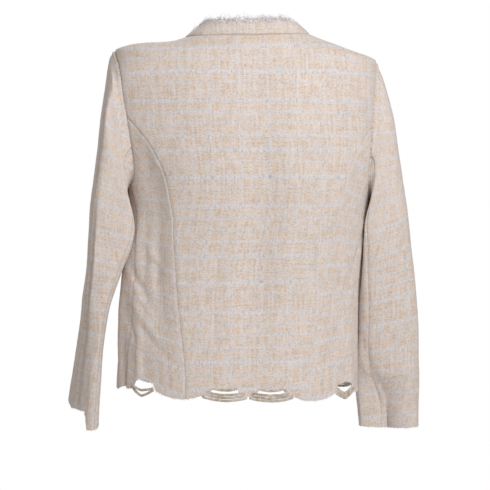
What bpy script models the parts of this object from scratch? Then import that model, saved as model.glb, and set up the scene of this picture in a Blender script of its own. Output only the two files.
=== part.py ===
"""Cropped tweed jacket, hollow and standing open as it is worn.

Every cut piece is a thin wall of cloth. All body panels are patches of one smooth
torso surface, the sleeves are lofted from the armholes down to the cuffs, and the
collar band stands on the neck seam. Metres, +Z up, the wearer faces -Y and the
wearer's left is +X. The origin is the middle of the neck at the collar seam.
"""

import math
import random

import bpy
from mathutils import Vector

# ---------------------------------------------------------------- driving sizes
CLOTH = 0.0022  # thickness of the tweed
SEAM_GAP = 0.0003  # clearance between two pieces at a seam
SHARPEST_CORNER = 0.05  # limits how far a seam's clearance draws back a sharp corner
FOLD_GAP = 0.0006  # between the body and the sleeve's edge under the arm
UNDERARM_CLEARANCE = 0.0035  # air between a sleeve and the side of the body

NECK_HALF_WIDTH = 0.0973
NECK_DIP_BACK = 0.0045  # the collar seam is this much lower at the centre back
SHOULDER_TIP_LEVEL = -0.031
SHOULDER_ROUNDING = 0.030  # height over which the shoulder turns down, away from its seam
FRONT_EDGE_GAP = 0.003  # between the two front edges

COLLAR_HEIGHT = 0.019
COLLAR_LEAN = {"back": 0.009, "side": 0.023, "front": 0.007}  # of the top edge, inward
COLLAR_CURVE = 1.15  # over 1 leaves the band steeper at its foot
COLLAR_ROWS = 3
FRINGE_STRIP = 0.003  # height of the strip that the strands grow from
FRINGE_THICKNESS = 0.0016
FRINGE_STRANDS = 150
FRINGE_LENGTH = 0.0085  # of the longest strand
FRINGE_SHORTEST = 0.45  # as a share of the longest
FRINGE_STRAY = 0.0014  # how far a strand's tip may stand off its line
FRINGE_SEED = 7

HEM_BACK, HEM_SIDE, HEM_FRONT = -0.551, -0.542, -0.547
LEAST_STEP = 0.0012  # between two points of the cloth's edge
HEM_BAND = 0.024  # depth of the strip above the hem line that holds the scallops
SCALLOP_ARC = 0.070
SCALLOPS_TO_FRONT = 5  # alternating open and plain from the centre back
SCALLOP_DROP = 0.0072
CORD_RADIUS = 0.0015
CORD_SIDES = 5

# Horizontal sections of the torso. "squareness" is the superellipse exponent.
TORSO = (
    # level, half_width, back, front, squareness, shift
    (0.0000, 0.0973, 0.0700, 0.0500, 2.00, 0.0000),
    (-0.0080, 0.1190, 0.0770, 0.0570, 2.00, 0.0000),
    (-0.0165, 0.1560, 0.0840, 0.0650, 2.05, 0.0000),
    (-0.0245, 0.1930, 0.0900, 0.0710, 2.10, 0.0000),
    (-0.0310, 0.2050, 0.0935, 0.0760, 2.15, 0.0000),
    (-0.0500, 0.2068, 0.1000, 0.0850, 2.20, 0.0000),
    (-0.0800, 0.2060, 0.1080, 0.1000, 2.20, 0.0000),
    (-0.1200, 0.2045, 0.1140, 0.1180, 2.20, -0.0010),
    (-0.1600, 0.2020, 0.1170, 0.1290, 2.25, -0.0030),
    (-0.2000, 0.1970, 0.1170, 0.1340, 2.30, -0.0060),
    (-0.2400, 0.1900, 0.1150, 0.1350, 2.30, -0.0080),
    (-0.2800, 0.1860, 0.1110, 0.1320, 2.35, -0.0080),
    (-0.3300, 0.1860, 0.1060, 0.1260, 2.40, -0.0035),
    (-0.4000, 0.1850, 0.1035, 0.1210, 2.40, 0.0000),
    (-0.4700, 0.1862, 0.1080, 0.1200, 2.40, 0.0000),
    (-0.5700, 0.1895, 0.1180, 0.1230, 2.40, 0.0000),
)
LEVEL, HALF_WIDTH, BACK, FRONT, SQUARENESS, SHIFT = range(6)

# The armhole as a loop seen from the side, from the shoulder tip down the back.
ARMHOLE = (
    # mark, toward_back, level
    ("tip", 0.000, SHOULDER_TIP_LEVEL),
    ("", 0.022, -0.048),
    ("", 0.034, -0.077),
    ("", 0.041, -0.107),
    ("princess", 0.047, -0.137),
    ("", 0.052, -0.168),
    ("", 0.053, -0.198),
    ("", 0.047, -0.222),
    ("side", 0.030, -0.239),
    ("", 0.008, -0.246),
    ("", -0.018, -0.244),
    ("", -0.042, -0.232),
    ("", -0.058, -0.206),
    ("", -0.062, -0.172),
    ("", -0.058, -0.136),
    ("", -0.049, -0.100),
    ("", -0.036, -0.066),
    ("", -0.019, -0.042),
)
# Princess seam below the armhole, and the side seam, seen from behind and from the side.
PRINCESS = (
    # level, from_centre
    (-0.150, 0.1800),
    (-0.170, 0.1645),
    (-0.195, 0.1510),
    (-0.220, 0.1405),
    (-0.250, 0.1325),
    (-0.300, 0.1230),
    (-0.360, 0.1130),
    (-0.420, 0.1055),
    (-0.480, 0.0975),
    (-0.549, 0.0930),
)
SIDE_SEAM = (
    # level, toward_back
    (-0.270, 0.040),
    (-0.330, 0.048),
    (-0.400, 0.050),
    (-0.470, 0.047),
    (-0.545, 0.040),
)
NECK_FRONT = (
    # from_centre, level
    (0.0973, 0.0000),
    (0.0950, -0.0120),
    (0.0885, -0.0260),
    (0.0770, -0.0420),
    (0.0600, -0.0580),
    (0.0390, -0.0710),
    (0.0180, -0.0785),
    (0.0015, -0.0810),
)

# Soft folds raised from or pressed into the torso surface.
TORSO_FOLDS = (
    # side, angle, level, half_length, half_width, tilt, height
    (1, 62.0, -0.385, 0.050, 0.0085, 48.0, -0.0030),
    (1, 55.0, -0.440, 0.055, 0.0090, 52.0, 0.0028),
    (1, 78.0, -0.330, 0.045, 0.0090, 25.0, 0.0035),
    (1, 74.0, -0.520, 0.060, 0.0100, 8.0, -0.0055),
    (1, 58.0, -0.500, 0.055, 0.0100, 6.0, 0.0035),
    (-1, 66.0, -0.330, 0.050, 0.0090, 32.0, -0.0028),
    (-1, 60.0, -0.505, 0.060, 0.0110, -6.0, 0.0032),
    (-1, 80.0, -0.480, 0.065, 0.0100, -4.0, -0.0040),
    (1, 112.0, -0.300, 0.060, 0.0100, 20.0, -0.0030),
    (-1, 114.0, -0.310, 0.060, 0.0100, 24.0, -0.0030),
    (1, 128.0, -0.480, 0.070, 0.0110, 4.0, 0.0030),
    (-1, 126.0, -0.490, 0.070, 0.0110, -5.0, 0.0030),
)

# Sleeve sections from the armhole to the cuff. "out" is the outer side of the arm and
# "in" the side next to the body; "turn" moves the back of the section toward the body.
SLEEVE_LEFT = (
    # out_x, out_level, in_x, in_level, middle_y, half_depth, turn, squareness
    (0.2050, -0.031, 0.1815, -0.246, -0.004, 0.058, 0.000, 2.1),
    (0.2110, -0.041, 0.1855, -0.253, -0.004, 0.060, 0.000, 2.1),
    (0.2150, -0.060, 0.1880, -0.263, -0.003, 0.063, -0.002, 2.1),
    (0.2190, -0.090, 0.1880, -0.274, -0.002, 0.065, -0.005, 2.1),
    (0.2230, -0.127, 0.1870, -0.287, -0.001, 0.065, -0.009, 2.1),
    (0.2262, -0.171, 0.1850, -0.301, 0.000, 0.064, -0.013, 2.1),
    (0.2295, -0.219, 0.1840, -0.318, 0.000, 0.063, -0.016, 2.1),
    (0.2325, -0.269, 0.1860, -0.340, 0.000, 0.062, -0.016, 2.1),
    (0.2355, -0.320, 0.1900, -0.367, -0.002, 0.061, -0.014, 2.1),
    (0.2385, -0.366, 0.1960, -0.396, -0.004, 0.060, -0.012, 2.1),
    (0.2410, -0.410, 0.2010, -0.428, -0.008, 0.059, -0.010, 2.1),
    (0.2440, -0.450, 0.2045, -0.460, -0.012, 0.057, -0.009, 2.1),
    (0.2475, -0.490, 0.2075, -0.494, -0.017, 0.055, -0.009, 2.1),
    (0.2515, -0.528, 0.2090, -0.530, -0.022, 0.053, -0.009, 2.1),
    (0.2550, -0.562, 0.2100, -0.566, -0.027, 0.051, -0.010, 2.1),
    (0.2580, -0.594, 0.2100, -0.600, -0.031, 0.050, -0.011, 2.1),
)
SLEEVE_RIGHT = (
    (0.2050, -0.031, 0.1965, -0.246, -0.004, 0.058, 0.000, 2.1),
    (0.2115, -0.041, 0.2000, -0.253, -0.004, 0.060, 0.001, 2.1),
    (0.2180, -0.058, 0.2010, -0.263, -0.003, 0.062, 0.002, 2.1),
    (0.2275, -0.088, 0.2005, -0.274, -0.002, 0.063, 0.004, 2.1),
    (0.2380, -0.125, 0.1990, -0.287, -0.001, 0.062, 0.006, 2.1),
    (0.2480, -0.169, 0.1975, -0.301, 0.000, 0.060, 0.007, 2.1),
    (0.2580, -0.217, 0.1965, -0.318, 0.000, 0.056, 0.007, 2.1),
    (0.2670, -0.267, 0.1960, -0.340, 0.000, 0.052, 0.006, 2.1),
    (0.2740, -0.318, 0.1950, -0.367, -0.004, 0.049, 0.005, 2.1),
    (0.2795, -0.364, 0.1940, -0.396, -0.008, 0.046, 0.004, 2.1),
    (0.2840, -0.408, 0.1930, -0.428, -0.012, 0.042, 0.003, 2.1),
    (0.2875, -0.448, 0.1915, -0.460, -0.016, 0.038, 0.002, 2.1),
    (0.2910, -0.488, 0.1905, -0.494, -0.020, 0.034, 0.001, 2.1),
    (0.2945, -0.526, 0.1915, -0.530, -0.024, 0.031, 0.000, 2.1),
    (0.2975, -0.568, 0.1950, -0.572, -0.028, 0.028, 0.000, 2.1),
    (0.2995, -0.606, 0.1990, -0.610, -0.031, 0.027, 0.000, 2.1),
)
OUT_X, OUT_LEVEL, IN_X, IN_LEVEL, MIDDLE_Y, HALF_DEPTH, TURN, ROUNDNESS = range(8)
# How far each of the first sections still follows the armhole's own curve.
ARMHOLE_HOLD = (1.0, 0.92, 0.74, 0.50, 0.28, 0.12, 0.03)
SLEEVE_SEAMS = (118.0, 236.0)  # angle round the arm of the hindarm and forearm seams
SHARPEST_MITRE = 0.1  # cosine between two walls below which they share no mitre
LONGEST_MITRE = 1.35  # in thicknesses of the wall
BODY_END = -0.580  # below this the sleeves hang free of the body
CUFF_ROWS = 5  # last sections over which the cuff's tilt comes in
CUFF_TILT = {"left": 0.017, "right": 0.003}  # the back of the cuff hangs lower by this

# Creases along the sleeves: angle round the arm, levels between which it runs, depth.
SLEEVE_CREASES = {
    "left": (
        # angle, half_angle, top_level, bottom_level, depth
        (52.0, 13.0, -0.20, -0.66, 0.0060),
        (228.0, 16.0, -0.30, -0.44, 0.0040),
        (300.0, 18.0, -0.34, -0.62, 0.0030),
    ),
    "right": (
        (130.0, 20.0, -0.50, -0.60, 0.0060),
        (60.0, 20.0, -0.30, -0.42, 0.0030),
        (96.0, 14.0, -0.57, -0.66, 0.0035),
        (250.0, 18.0, -0.32, -0.50, 0.0035),
    ),
}

# Cords of a swag, from the cloth's edge down. Heights are above the hem line.
SWAG_ROWS = (
    # start, end_height, middle_height
    (0.240, 0.0122, 0.0096),
    (0.112, 0.0062, 0.0028),
    (0.072, 0.0026, -0.0014),
    (0.030, -0.0010, -0.0056),
)
ROW_START, ROW_END_HEIGHT, ROW_MIDDLE_HEIGHT = range(3)
SWAG_POINTS_PER_ROW = 9
TURN_DEPTH = 0.6  # how far down between two rows the middle of their turn lies
# Edge of the cloth round an open scallop, as far as its middle.
OPEN_EDGE = (
    # along, height
    (0.000, 0.0005),
    (0.035, 0.0032),
    (0.075, 0.0072),
    (0.130, 0.0098),
    (0.190, 0.0112),
    (0.225, 0.0138),
    (0.270, 0.0150),
    (0.500, 0.0152),
)
PLAIN_STEPS = 6

# Rows and columns of the panels' grids.
ROWS_PRINCESS, ROWS_ARMHOLE, ROWS_SHOULDER = 14, 5, 5
SHOULDER_ROWS_SPREAD = 0.070  # on the centre line, what the shoulder's rows fan out to
COLUMNS_BACK, COLUMNS_SIDE, COLUMNS_FRONT = 14, 6, 9

CURVE_STEPS = 8  # between two rows of a table, when a line is drawn through them
LEAST_SPAN = 1e-9
HALVINGS = 40
SMALL_ANGLE, SMALL_LEVEL = 0.4, 0.0008  # steps that the torso's slope is measured over

COLOURS = {
    # red, green, blue, roughness
    "tweed": (0.72, 0.60, 0.50, 0.95),
    "fray": (0.74, 0.70, 0.68, 0.95),
    "cord": (0.50, 0.36, 0.22, 0.75),
}


# ------------------------------------------------------------------ small tools
def mix(a, b, t):
    return a + (b - a) * t


def smooth_step(t):
    t = min(max(t, 0.0), 1.0)
    return t * t * (3.0 - 2.0 * t)


def read_table(table, key, value, at):
    """Value column at a key, on a smooth curve that doesn't overshoot its rows."""
    rows = sorted(table, key=lambda row: row[key])
    keys = [row[key] for row in rows]
    values = [row[value] for row in rows]
    at = min(max(at, keys[0]), keys[-1])
    last = len(rows) - 2
    k = min(last, max(i for i in range(last + 1) if keys[i] <= at))
    steps = [keys[i + 1] - keys[i] for i in range(last + 1)]
    slopes = [(values[i + 1] - values[i]) / steps[i] for i in range(last + 1)]

    def tangent(i):
        if i == 0 or i == last + 1:
            return slopes[min(i, last)]
        before, after = slopes[i - 1], slopes[i]
        if before * after <= 0.0:
            return 0.0
        return 2.0 * before * after / (before + after)

    t = (at - keys[k]) / steps[k]
    rise = (2 * t**3 - 3 * t**2 + 1) * values[k] + (3 * t**2 - 2 * t**3) * values[k + 1]
    lean = (t**3 - 2 * t**2 + t) * tangent(k) + (t**3 - t**2) * tangent(k + 1)
    return rise + lean * steps[k]


def curve(corners, steps):
    """Catmull-Rom points from the second of the corners to the last but one."""
    fine = []
    for a, b, c, d in zip(corners, corners[1:], corners[2:], corners[3:]):
        for k in range(steps):
            t = k / steps
            point = 2 * b + (c - a) * t + (2 * a - 5 * b + 4 * c - d) * t**2
            fine.append((point + (3 * b - a - 3 * c + d) * t**3) / 2)
    return [*fine, corners[-2].copy()]


def open_curve(points):
    """Smooth line through all the points, from the first to the last."""
    ends = (2 * points[0] - points[1], 2 * points[-1] - points[-2])
    return curve([ends[0], *points, ends[1]], CURVE_STEPS)


def reaches_of(points):
    """Length along a line of points up to each one."""
    reaches = [0.0]
    for a, b in zip(points, points[1:]):
        reaches.append(reaches[-1] + (b - a).length)
    return reaches


def even(points, steps, reaches=None):
    """steps + 1 points on the line, evenly spaced by its own or by the given reaches."""
    reaches = reaches or reaches_of(points)
    spaced, k = [], 0
    for i in range(steps + 1):
        goal = reaches[-1] * i / steps
        while k < len(points) - 2 and reaches[k + 1] < goal:
            k += 1
        span = max(reaches[k + 1] - reaches[k], LEAST_SPAN)
        spaced.append(points[k].lerp(points[k + 1], (goal - reaches[k]) / span))
    return spaced


# ------------------------------------------------------------- the torso surface
# A place on the torso is a pair (angle, level): the angle is 0 at the centre back,
# 90 at the widest point of the side and 180 at the centre front.
def torso_size(column, level):
    return read_table(TORSO, LEVEL, column, level)


def fold_height(side, angle, level):
    height = 0.0
    for fold_side, fold_angle, fold_level, half_length, half_width, tilt, depth in TORSO_FOLDS:
        if fold_side != side:
            continue
        across = math.radians(angle - fold_angle) * torso_size(HALF_WIDTH, fold_level)
        up = level - fold_level
        lean = math.radians(tilt)
        along = up * math.cos(lean) + across * math.sin(lean)
        away = across * math.cos(lean) - up * math.sin(lean)
        height += depth * math.exp(-((along / half_length) ** 2) - (away / half_width) ** 2)
    return height


def bare_torso(side, angle, level):
    turn = math.radians(angle)
    blend = SHOULDER_ROUNDING * math.cos(turn) ** 2
    size = torso_size(HALF_WIDTH, level) / 2
    size += (torso_size(HALF_WIDTH, level - blend) + torso_size(HALF_WIDTH, level + blend)) / 4
    depth = torso_size(BACK, level) if angle <= 90.0 else -torso_size(FRONT, level)
    power = 2.0 / torso_size(SQUARENESS, level)
    width = math.copysign(abs(math.sin(turn)) ** power, math.sin(turn)) * size
    return Vector((side * width + torso_size(SHIFT, level), depth * abs(math.cos(turn)) ** power, level))


def torso_normal(side, angle, level):
    """Unit vector out of the torso."""
    level = min(level, -SMALL_LEVEL)
    across = bare_torso(side, angle + SMALL_ANGLE, level) - bare_torso(side, angle - SMALL_ANGLE, level)
    up = bare_torso(side, angle, level + SMALL_LEVEL) - bare_torso(side, angle, level - SMALL_LEVEL)
    return side * up.cross(across).normalized()


def torso(side, angle, level):
    out = torso_normal(side, angle, level)
    return bare_torso(side, angle, level) + out * fold_height(side, angle, level)


def angle_from_depth(toward_back, level):
    """Angle of the torso point this far behind (or, below 0, before) the side."""
    depth = torso_size(BACK if toward_back >= 0.0 else FRONT, level)
    ratio = min(abs(toward_back) / depth, 1.0) ** (torso_size(SQUARENESS, level) / 2.0)
    return 90.0 - math.copysign(math.degrees(math.asin(ratio)), toward_back)


def angle_from_width(from_centre, level, at_back):
    """Angle of the torso point this far from the centre line."""
    ratio = min(from_centre / torso_size(HALF_WIDTH, level), 1.0)
    angle = math.degrees(math.asin(ratio ** (torso_size(SQUARENESS, level) / 2.0)))
    return angle if at_back else 180.0 - angle


def shoulder_level(half_width):
    """Level at which the torso is this wide, on the shoulder seam."""
    low, high = SHOULDER_TIP_LEVEL, 0.0
    for _ in range(HALVINGS):
        middle = (low + high) / 2
        if torso_size(HALF_WIDTH, middle) > half_width:
            low = middle
        else:
            high = middle
    return (low + high) / 2


# --------------------------------------------------------------- seams and edges
def place(angle, level):
    return Vector((angle, level, 0.0))


def even_on_torso(places, steps):
    """Re-spaces a line of (angle, level) places evenly in real length."""
    return even(places, steps, reaches_of([torso(1, p.x, p.y) for p in places]))


def armhole_arc(first, last, steps):
    """Places on the armhole from one mark to another, going down the back and up the front."""
    marks = [row[0] for row in ARMHOLE] + ["tip"]
    loop = [Vector((row[1], row[2], 0.0)) for row in (*ARMHOLE, ARMHOLE[0])]
    closed = [loop[-2], *loop, loop[1]]
    start = marks.index(first)
    stop = len(marks) - 1 - marks[::-1].index(last)
    line = curve(closed[start : stop + 3], CURVE_STEPS)
    return even_on_torso([place(angle_from_depth(p.x, p.y), p.y) for p in line], steps)


def hem_level(angle):
    side = math.sin(math.radians(angle)) ** 2
    middle = HEM_BACK if angle <= 90.0 else HEM_FRONT
    return mix(middle, HEM_SIDE, side)


HEM_ANGLES = 360  # steps from the centre back to the centre front
HEM_LINE = [(k * 180.0 / HEM_ANGLES, hem_level(k * 180.0 / HEM_ANGLES)) for k in range(HEM_ANGLES + 1)]
HEM_REACH = reaches_of([torso(1, angle, level) for angle, level in HEM_LINE])


def hem_angle(reach):
    k = 0
    while k < HEM_ANGLES - 1 and HEM_REACH[k + 1] < reach:
        k += 1
    t = (reach - HEM_REACH[k]) / (HEM_REACH[k + 1] - HEM_REACH[k])
    return 180.0 * (k + t) / HEM_ANGLES


def hem_reach(angle):
    k = min(int(angle * HEM_ANGLES / 180.0), HEM_ANGLES - 1)
    return mix(HEM_REACH[k], HEM_REACH[k + 1], angle * HEM_ANGLES / 180.0 - k)


def scallops():
    """(start, end, open) of each scallop of one half of the hem, from the centre back."""
    found = []
    for k in range(SCALLOPS_TO_FRONT):
        found.append((k * SCALLOP_ARC, (k + 1) * SCALLOP_ARC, k % 2 == 0))
    start = SCALLOPS_TO_FRONT * SCALLOP_ARC
    middle = (start + HEM_REACH[-1]) / 2
    return [*found, (start, middle, False), (middle, HEM_REACH[-1], False)]


def hem_edge_points():
    """(reach, height above the hem line) of the cloth's edge, from back to front."""
    points = []
    for start, end, is_open in scallops():
        if is_open:
            half = [(along, height) for along, height in OPEN_EDGE]
            profile = half + [(1.0 - along, height) for along, height in half[-2::-1]]
        else:
            steps = [k / PLAIN_STEPS for k in range(PLAIN_STEPS + 1)]
            profile = [(t, -SCALLOP_DROP * 4 * t * (1 - t)) for t in steps]
            profile[0] = (0.0, OPEN_EDGE[0][1])
            profile[-1] = (1.0, OPEN_EDGE[0][1])
        points += [(mix(start, end, t), height) for t, height in profile[:-1]]
    return [*points, (HEM_REACH[-1], OPEN_EDGE[0][1])]


HEM_EDGE = hem_edge_points()


def hem_height(reach):
    for (a, low), (b, high) in zip(HEM_EDGE, HEM_EDGE[1:]):
        if reach <= b:
            return mix(low, high, (reach - a) / (b - a))
    return HEM_EDGE[-1][1]


def on_hem(reach, height):
    """Place at a reach along the hem and a height above its line."""
    angle = hem_angle(reach)
    return place(angle, hem_level(angle) + height)


# ------------------------------------------------------------ thin walls of cloth
class Sheet:
    """Points of a piece's outer face, with the way into its wall at each, and its faces."""

    def __init__(self):
        self.points, self.inward, self.faces, self.seams = [], [], [], set()

    def add(self, point, inward):
        self.points.append(point.copy())
        self.inward.append(inward.copy())
        return len(self.points) - 1

    def sew(self, border):
        """Marks a border as a seam, where the neighbouring piece needs its clearance."""
        self.seams |= {frozenset(pair) for pair in zip(border, border[1:])}

    def borders(self):
        """(first, second, way) of each border edge; way lies in the piece, square to the edge."""
        sides = {}
        for face in self.faces:
            corners = [self.points[i] for i in face]
            normal = Vector((0.0, 0.0, 0.0))
            for before, after in zip(corners, (*corners[1:], corners[0])):
                normal += before.cross(after)
            for first, second in zip(face, (*face[1:], face[0])):
                sides[(first, second)] = normal
        found = []
        for (first, second), normal in sides.items():
            if (second, first) not in sides:
                way = normal.cross(self.points[second] - self.points[first]).normalized()
                found.append((first, second, way))
        return found

    def drawn_back(self, borders):
        """The points, with those of the seams drawn back by half the clearance."""
        ways = {}
        for first, second, way in borders:
            if frozenset((first, second)) in self.seams:
                ways.setdefault(first, []).append(way)
                ways.setdefault(second, []).append(way)
        moved = [p.copy() for p in self.points]
        for index, found in ways.items():
            both = found[0] + found[-1]
            square = max(1.0 + found[0].dot(found[-1]), SHARPEST_CORNER)
            moved[index] += both * (SEAM_GAP / 2 / square)
        return moved

    def thicken(self, name, finish):
        """Closed solid of the sheet."""
        borders = self.borders()
        outer = self.drawn_back(borders)
        inner = [p + way * CLOTH for p, way in zip(outer, self.inward)]
        count = len(outer)
        faces = [tuple(face) for face in self.faces]
        faces += [tuple(count + i for i in reversed(face)) for face in self.faces]
        for first, second, _ in borders:
            # Both pieces at a seam split its side faces along the same diagonal.
            lower = min(first, second, key=lambda i: tuple(round(v, 6) for v in self.points[i].zyx))
            if lower == first:
                faces.append((second, first, count + second))
                faces.append((first, count + first, count + second))
            else:
                faces.append((second, first, count + first))
                faces.append((second, count + first, count + second))
        return make_object(name, outer + inner, faces, finish)


def make_object(name, points, faces, finish):
    mesh = bpy.data.meshes.new(name)
    mesh.from_pydata([tuple(p) for p in points], [], faces)
    mesh.update()
    mesh.shade_smooth()
    mesh.set_sharp_from_angle(angle=math.radians(50.0))
    obj = bpy.data.objects.new(name, mesh)
    obj.data.materials.append(make_material(name, finish))
    bpy.context.scene.collection.objects.link(obj)
    return obj


def make_material(name, finish):
    red, green, blue, roughness = COLOURS[finish]
    material = bpy.data.materials.new(name + "_" + finish)
    material.use_nodes = True
    shader = material.node_tree.nodes["Principled BSDF"]
    shader.inputs["Base Color"].default_value = (red, green, blue, 1.0)
    shader.inputs["Roughness"].default_value = roughness
    shader.inputs["Metallic"].default_value = 0.0
    return material


def mitre(first, second):
    """Way into the wall that two walls share where they meet at an angle."""
    both = (first + second).normalized()
    return both * min(1.0 / both.dot(first), LONGEST_MITRE)


# ------------------------------------------------------------------- body panels
def coons(bottom, top, left, right):
    """Grid of places between four border lines. grid[i][j]: i across, j up."""
    columns, rows = len(bottom) - 1, len(left) - 1
    grid = []
    for i in range(columns + 1):
        u = i / columns
        column = []
        for j in range(rows + 1):
            v = j / rows
            lines = mix(bottom[i], top[i], v) + mix(left[j], right[j], u)
            corners = mix(mix(bottom[0], bottom[-1], u), mix(top[0], top[-1], u), v)
            column.append(lines - corners)
        grid.append(column)
    return grid


def band_place(angle):
    """Place just above the scallops at an angle round the hem."""
    return place(angle, hem_level(angle) + HEM_BAND)


def seam_lines():
    """Border lines of the panels on one side, as lists of (angle, level) places."""
    princess_top = armhole_arc("tip", "princess", 1)[-1]
    princess = [princess_top]
    for level, from_centre in PRINCESS[:-1]:
        princess.append(place(angle_from_width(from_centre, level, True), level))
    princess.append(band_place(angle_from_width(PRINCESS[-1][1], HEM_BACK + HEM_BAND, True)))
    side = [armhole_arc("princess", "side", 1)[-1]]
    for level, toward_back in SIDE_SEAM[:-1]:
        side.append(place(angle_from_depth(toward_back, level), level))
    side.append(band_place(angle_from_depth(SIDE_SEAM[-1][1], HEM_SIDE + HEM_BAND)))
    shoulder = []
    for k in range(ROWS_SHOULDER + 1):
        width = mix(torso_size(HALF_WIDTH, SHOULDER_TIP_LEVEL), NECK_HALF_WIDTH, k / ROWS_SHOULDER)
        shoulder.append(place(90.0, shoulder_level(width)))
    front_rows = ROWS_ARMHOLE + COLUMNS_SIDE
    return {
        "princess": fair(princess[::-1], ROWS_PRINCESS),
        "side": fair(side[::-1], ROWS_PRINCESS),
        "armhole_back": armhole_arc("tip", "princess", ROWS_ARMHOLE)[::-1],
        "armhole_side": armhole_arc("princess", "side", COLUMNS_SIDE),
        "armhole_front": armhole_arc("side", "tip", front_rows),
        "shoulder": shoulder,
    }


def fair(places, steps):
    """Smooth line through a few places, evenly spaced in real length."""
    return even_on_torso(open_curve(places), steps)


def neck_back(steps):
    """Half of the back neck line, from the shoulder to the centre back."""
    line = []
    for k in range(steps + 1):
        angle = 90.0 * (1 - k / steps)
        line.append(place(angle, -NECK_DIP_BACK * math.cos(math.radians(angle)) ** 2))
    return line


def neck_front(steps):
    """Neck line of a front, from the shoulder to the front edge."""
    line = [Vector((width, level, 0.0)) for width, level in NECK_FRONT]
    places = [place(angle_from_width(p.x, p.y, False), p.y) for p in open_curve(line)]
    return even_on_torso(places, steps)


def front_edge_angle(level):
    return angle_from_width(FRONT_EDGE_GAP / 2, level, False)


def centre_line(low, high, border):
    """Levels of a centre line's places, one for each of a border's: they sink below it
    toward the shoulder, whose rows then fan up to the neck."""
    tip_row = len(border) - 1 - ROWS_SHOULDER
    fan = high - SHOULDER_ROWS_SPREAD
    reaches = reaches_of([torso(1, p.x, p.y) for p in border])
    levels = []
    for k, reach in enumerate(reaches):
        if k <= tip_row:
            levels.append(mix(low, fan, reach / reaches[tip_row]))
        else:
            levels.append(mix(fan, high, (k - tip_row) / ROWS_SHOULDER))
    return levels


SEAMS = seam_lines()


def add_panel(grid, sides, seams, hem):
    """Sheet of a panel, and its points by column and row.

    grid holds its places, sides the side (-1 or 1) of each column; seams names the
    borders that are sewn; hem holds the (reach, side) of each column at the hem.
    """
    sheet = Sheet()
    index = []
    for side, column in zip(sides, grid):
        index.append([add_on_torso(sheet, side, p) for p in column])
    for before, after in zip(index, index[1:]):
        for j in range(len(before) - 1):
            sheet.faces.append((before[j], before[j + 1], after[j + 1], after[j]))
    ends = add_hem(sheet, index, hem)
    if "left" in seams:
        sheet.sew([ends[0], *index[0]])
    if "right" in seams:
        sheet.sew([ends[-1], *index[-1]])
    sheet.sew([column[-1] for column in index])
    return sheet, index


def add_on_torso(sheet, side, p):
    """Adds a place of the torso surface to a sheet, and returns the point's index."""
    return sheet.add(torso(side, p.x, p.y), -torso_normal(side, p.x, p.y))


def add_hem(sheet, index, hem):
    """Scalloped strip below the grid: one many-sided face under each column."""
    ends = [add_on_torso(sheet, side, on_hem(reach, hem_height(reach))) for reach, side in hem]
    for i, ((reach, side), (next_reach, next_side)) in enumerate(zip(hem, hem[1:])):
        where = side if reach > next_reach else next_side
        low, high = sorted((reach, next_reach))
        between = [pair for pair in HEM_EDGE if low + LEAST_STEP < pair[0] < high - LEAST_STEP]
        if reach > next_reach:
            between.reverse()
        lower = [add_on_torso(sheet, where, on_hem(at, height)) for at, height in between]
        sheet.faces.append((index[i][0], index[i + 1][0], ends[i + 1], *reversed(lower), ends[i]))
    return ends


def hem_columns(first, last, count):
    """Reach of each column at the hem, set so that the open scallops' ends get a column."""
    reaches = [mix(first, last, k / count) for k in range(count + 1)]
    for start, end, _ in scallops():
        for goal in (start, end):
            inside = [k for k in range(1, count) if abs(reaches[k] - goal) < 0.5 * abs(last - first) / count]
            if inside:
                nearest = min(inside, key=lambda k: abs(reaches[k] - goal))
                reaches[nearest] = goal
    return reaches


def band_line(hem):
    """Places just above the scallops, over each column's reach."""
    return [on_hem(reach, HEM_BAND) for reach, _ in hem]


def set_edge(sheet, indices, inward):
    """Gives the points of one border the way into the wall that they share with a neighbour."""
    for index, way in zip(indices, inward):
        sheet.inward[index] = way.copy()


# ------------------------------------------------------------------------ sleeves
def armhole_places():
    """The whole armhole as the sleeve meets it: tip, down the back, up the front."""
    back = SEAMS["armhole_back"][::-1]
    return back + SEAMS["armhole_side"][1:] + SEAMS["armhole_front"][1:]


def sleeve_angles(places):
    """Angle round the arm of each armhole place: 0 outside, 90 behind, 180 next to the body."""
    lowest = min(range(len(places)), key=lambda k: places[k].y)
    reaches = reaches_of([torso(1, p.x, p.y) for p in places])
    half = reaches[lowest]
    angles = []
    for reach in reaches:
        if reach <= half:
            angles.append(180.0 * reach / half)
        else:
            angles.append(180.0 + 180.0 * (reach - half) / (reaches[-1] - half))
    return angles


def section_point(side, row, angle):
    turn = math.radians(angle)
    power = 2.0 / row[ROUNDNESS]
    c = math.copysign(abs(math.cos(turn)) ** power, math.cos(turn))
    s = math.copysign(abs(math.sin(turn)) ** power, math.sin(turn))
    x = (row[OUT_X] + row[IN_X]) / 2 + c * (row[OUT_X] - row[IN_X]) / 2 + s * row[TURN]
    z = (row[OUT_LEVEL] + row[IN_LEVEL]) / 2 + c * (row[OUT_LEVEL] - row[IN_LEVEL]) / 2
    return Vector((side * x, row[MIDDLE_Y] + s * row[HALF_DEPTH], z))


def crease_depth(hand, angle, level):
    depth = 0.0
    for at, half_angle, top, bottom, deepest in SLEEVE_CREASES[hand]:
        away = (angle - at + 180.0) % 360.0 - 180.0
        middle, half = (top + bottom) / 2, (top - bottom) / 2
        run = max(0.0, 1.0 - ((level - middle) / half) ** 2)
        depth += deepest * run * math.exp(-((away / half_angle) ** 2))
    return depth


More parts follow.
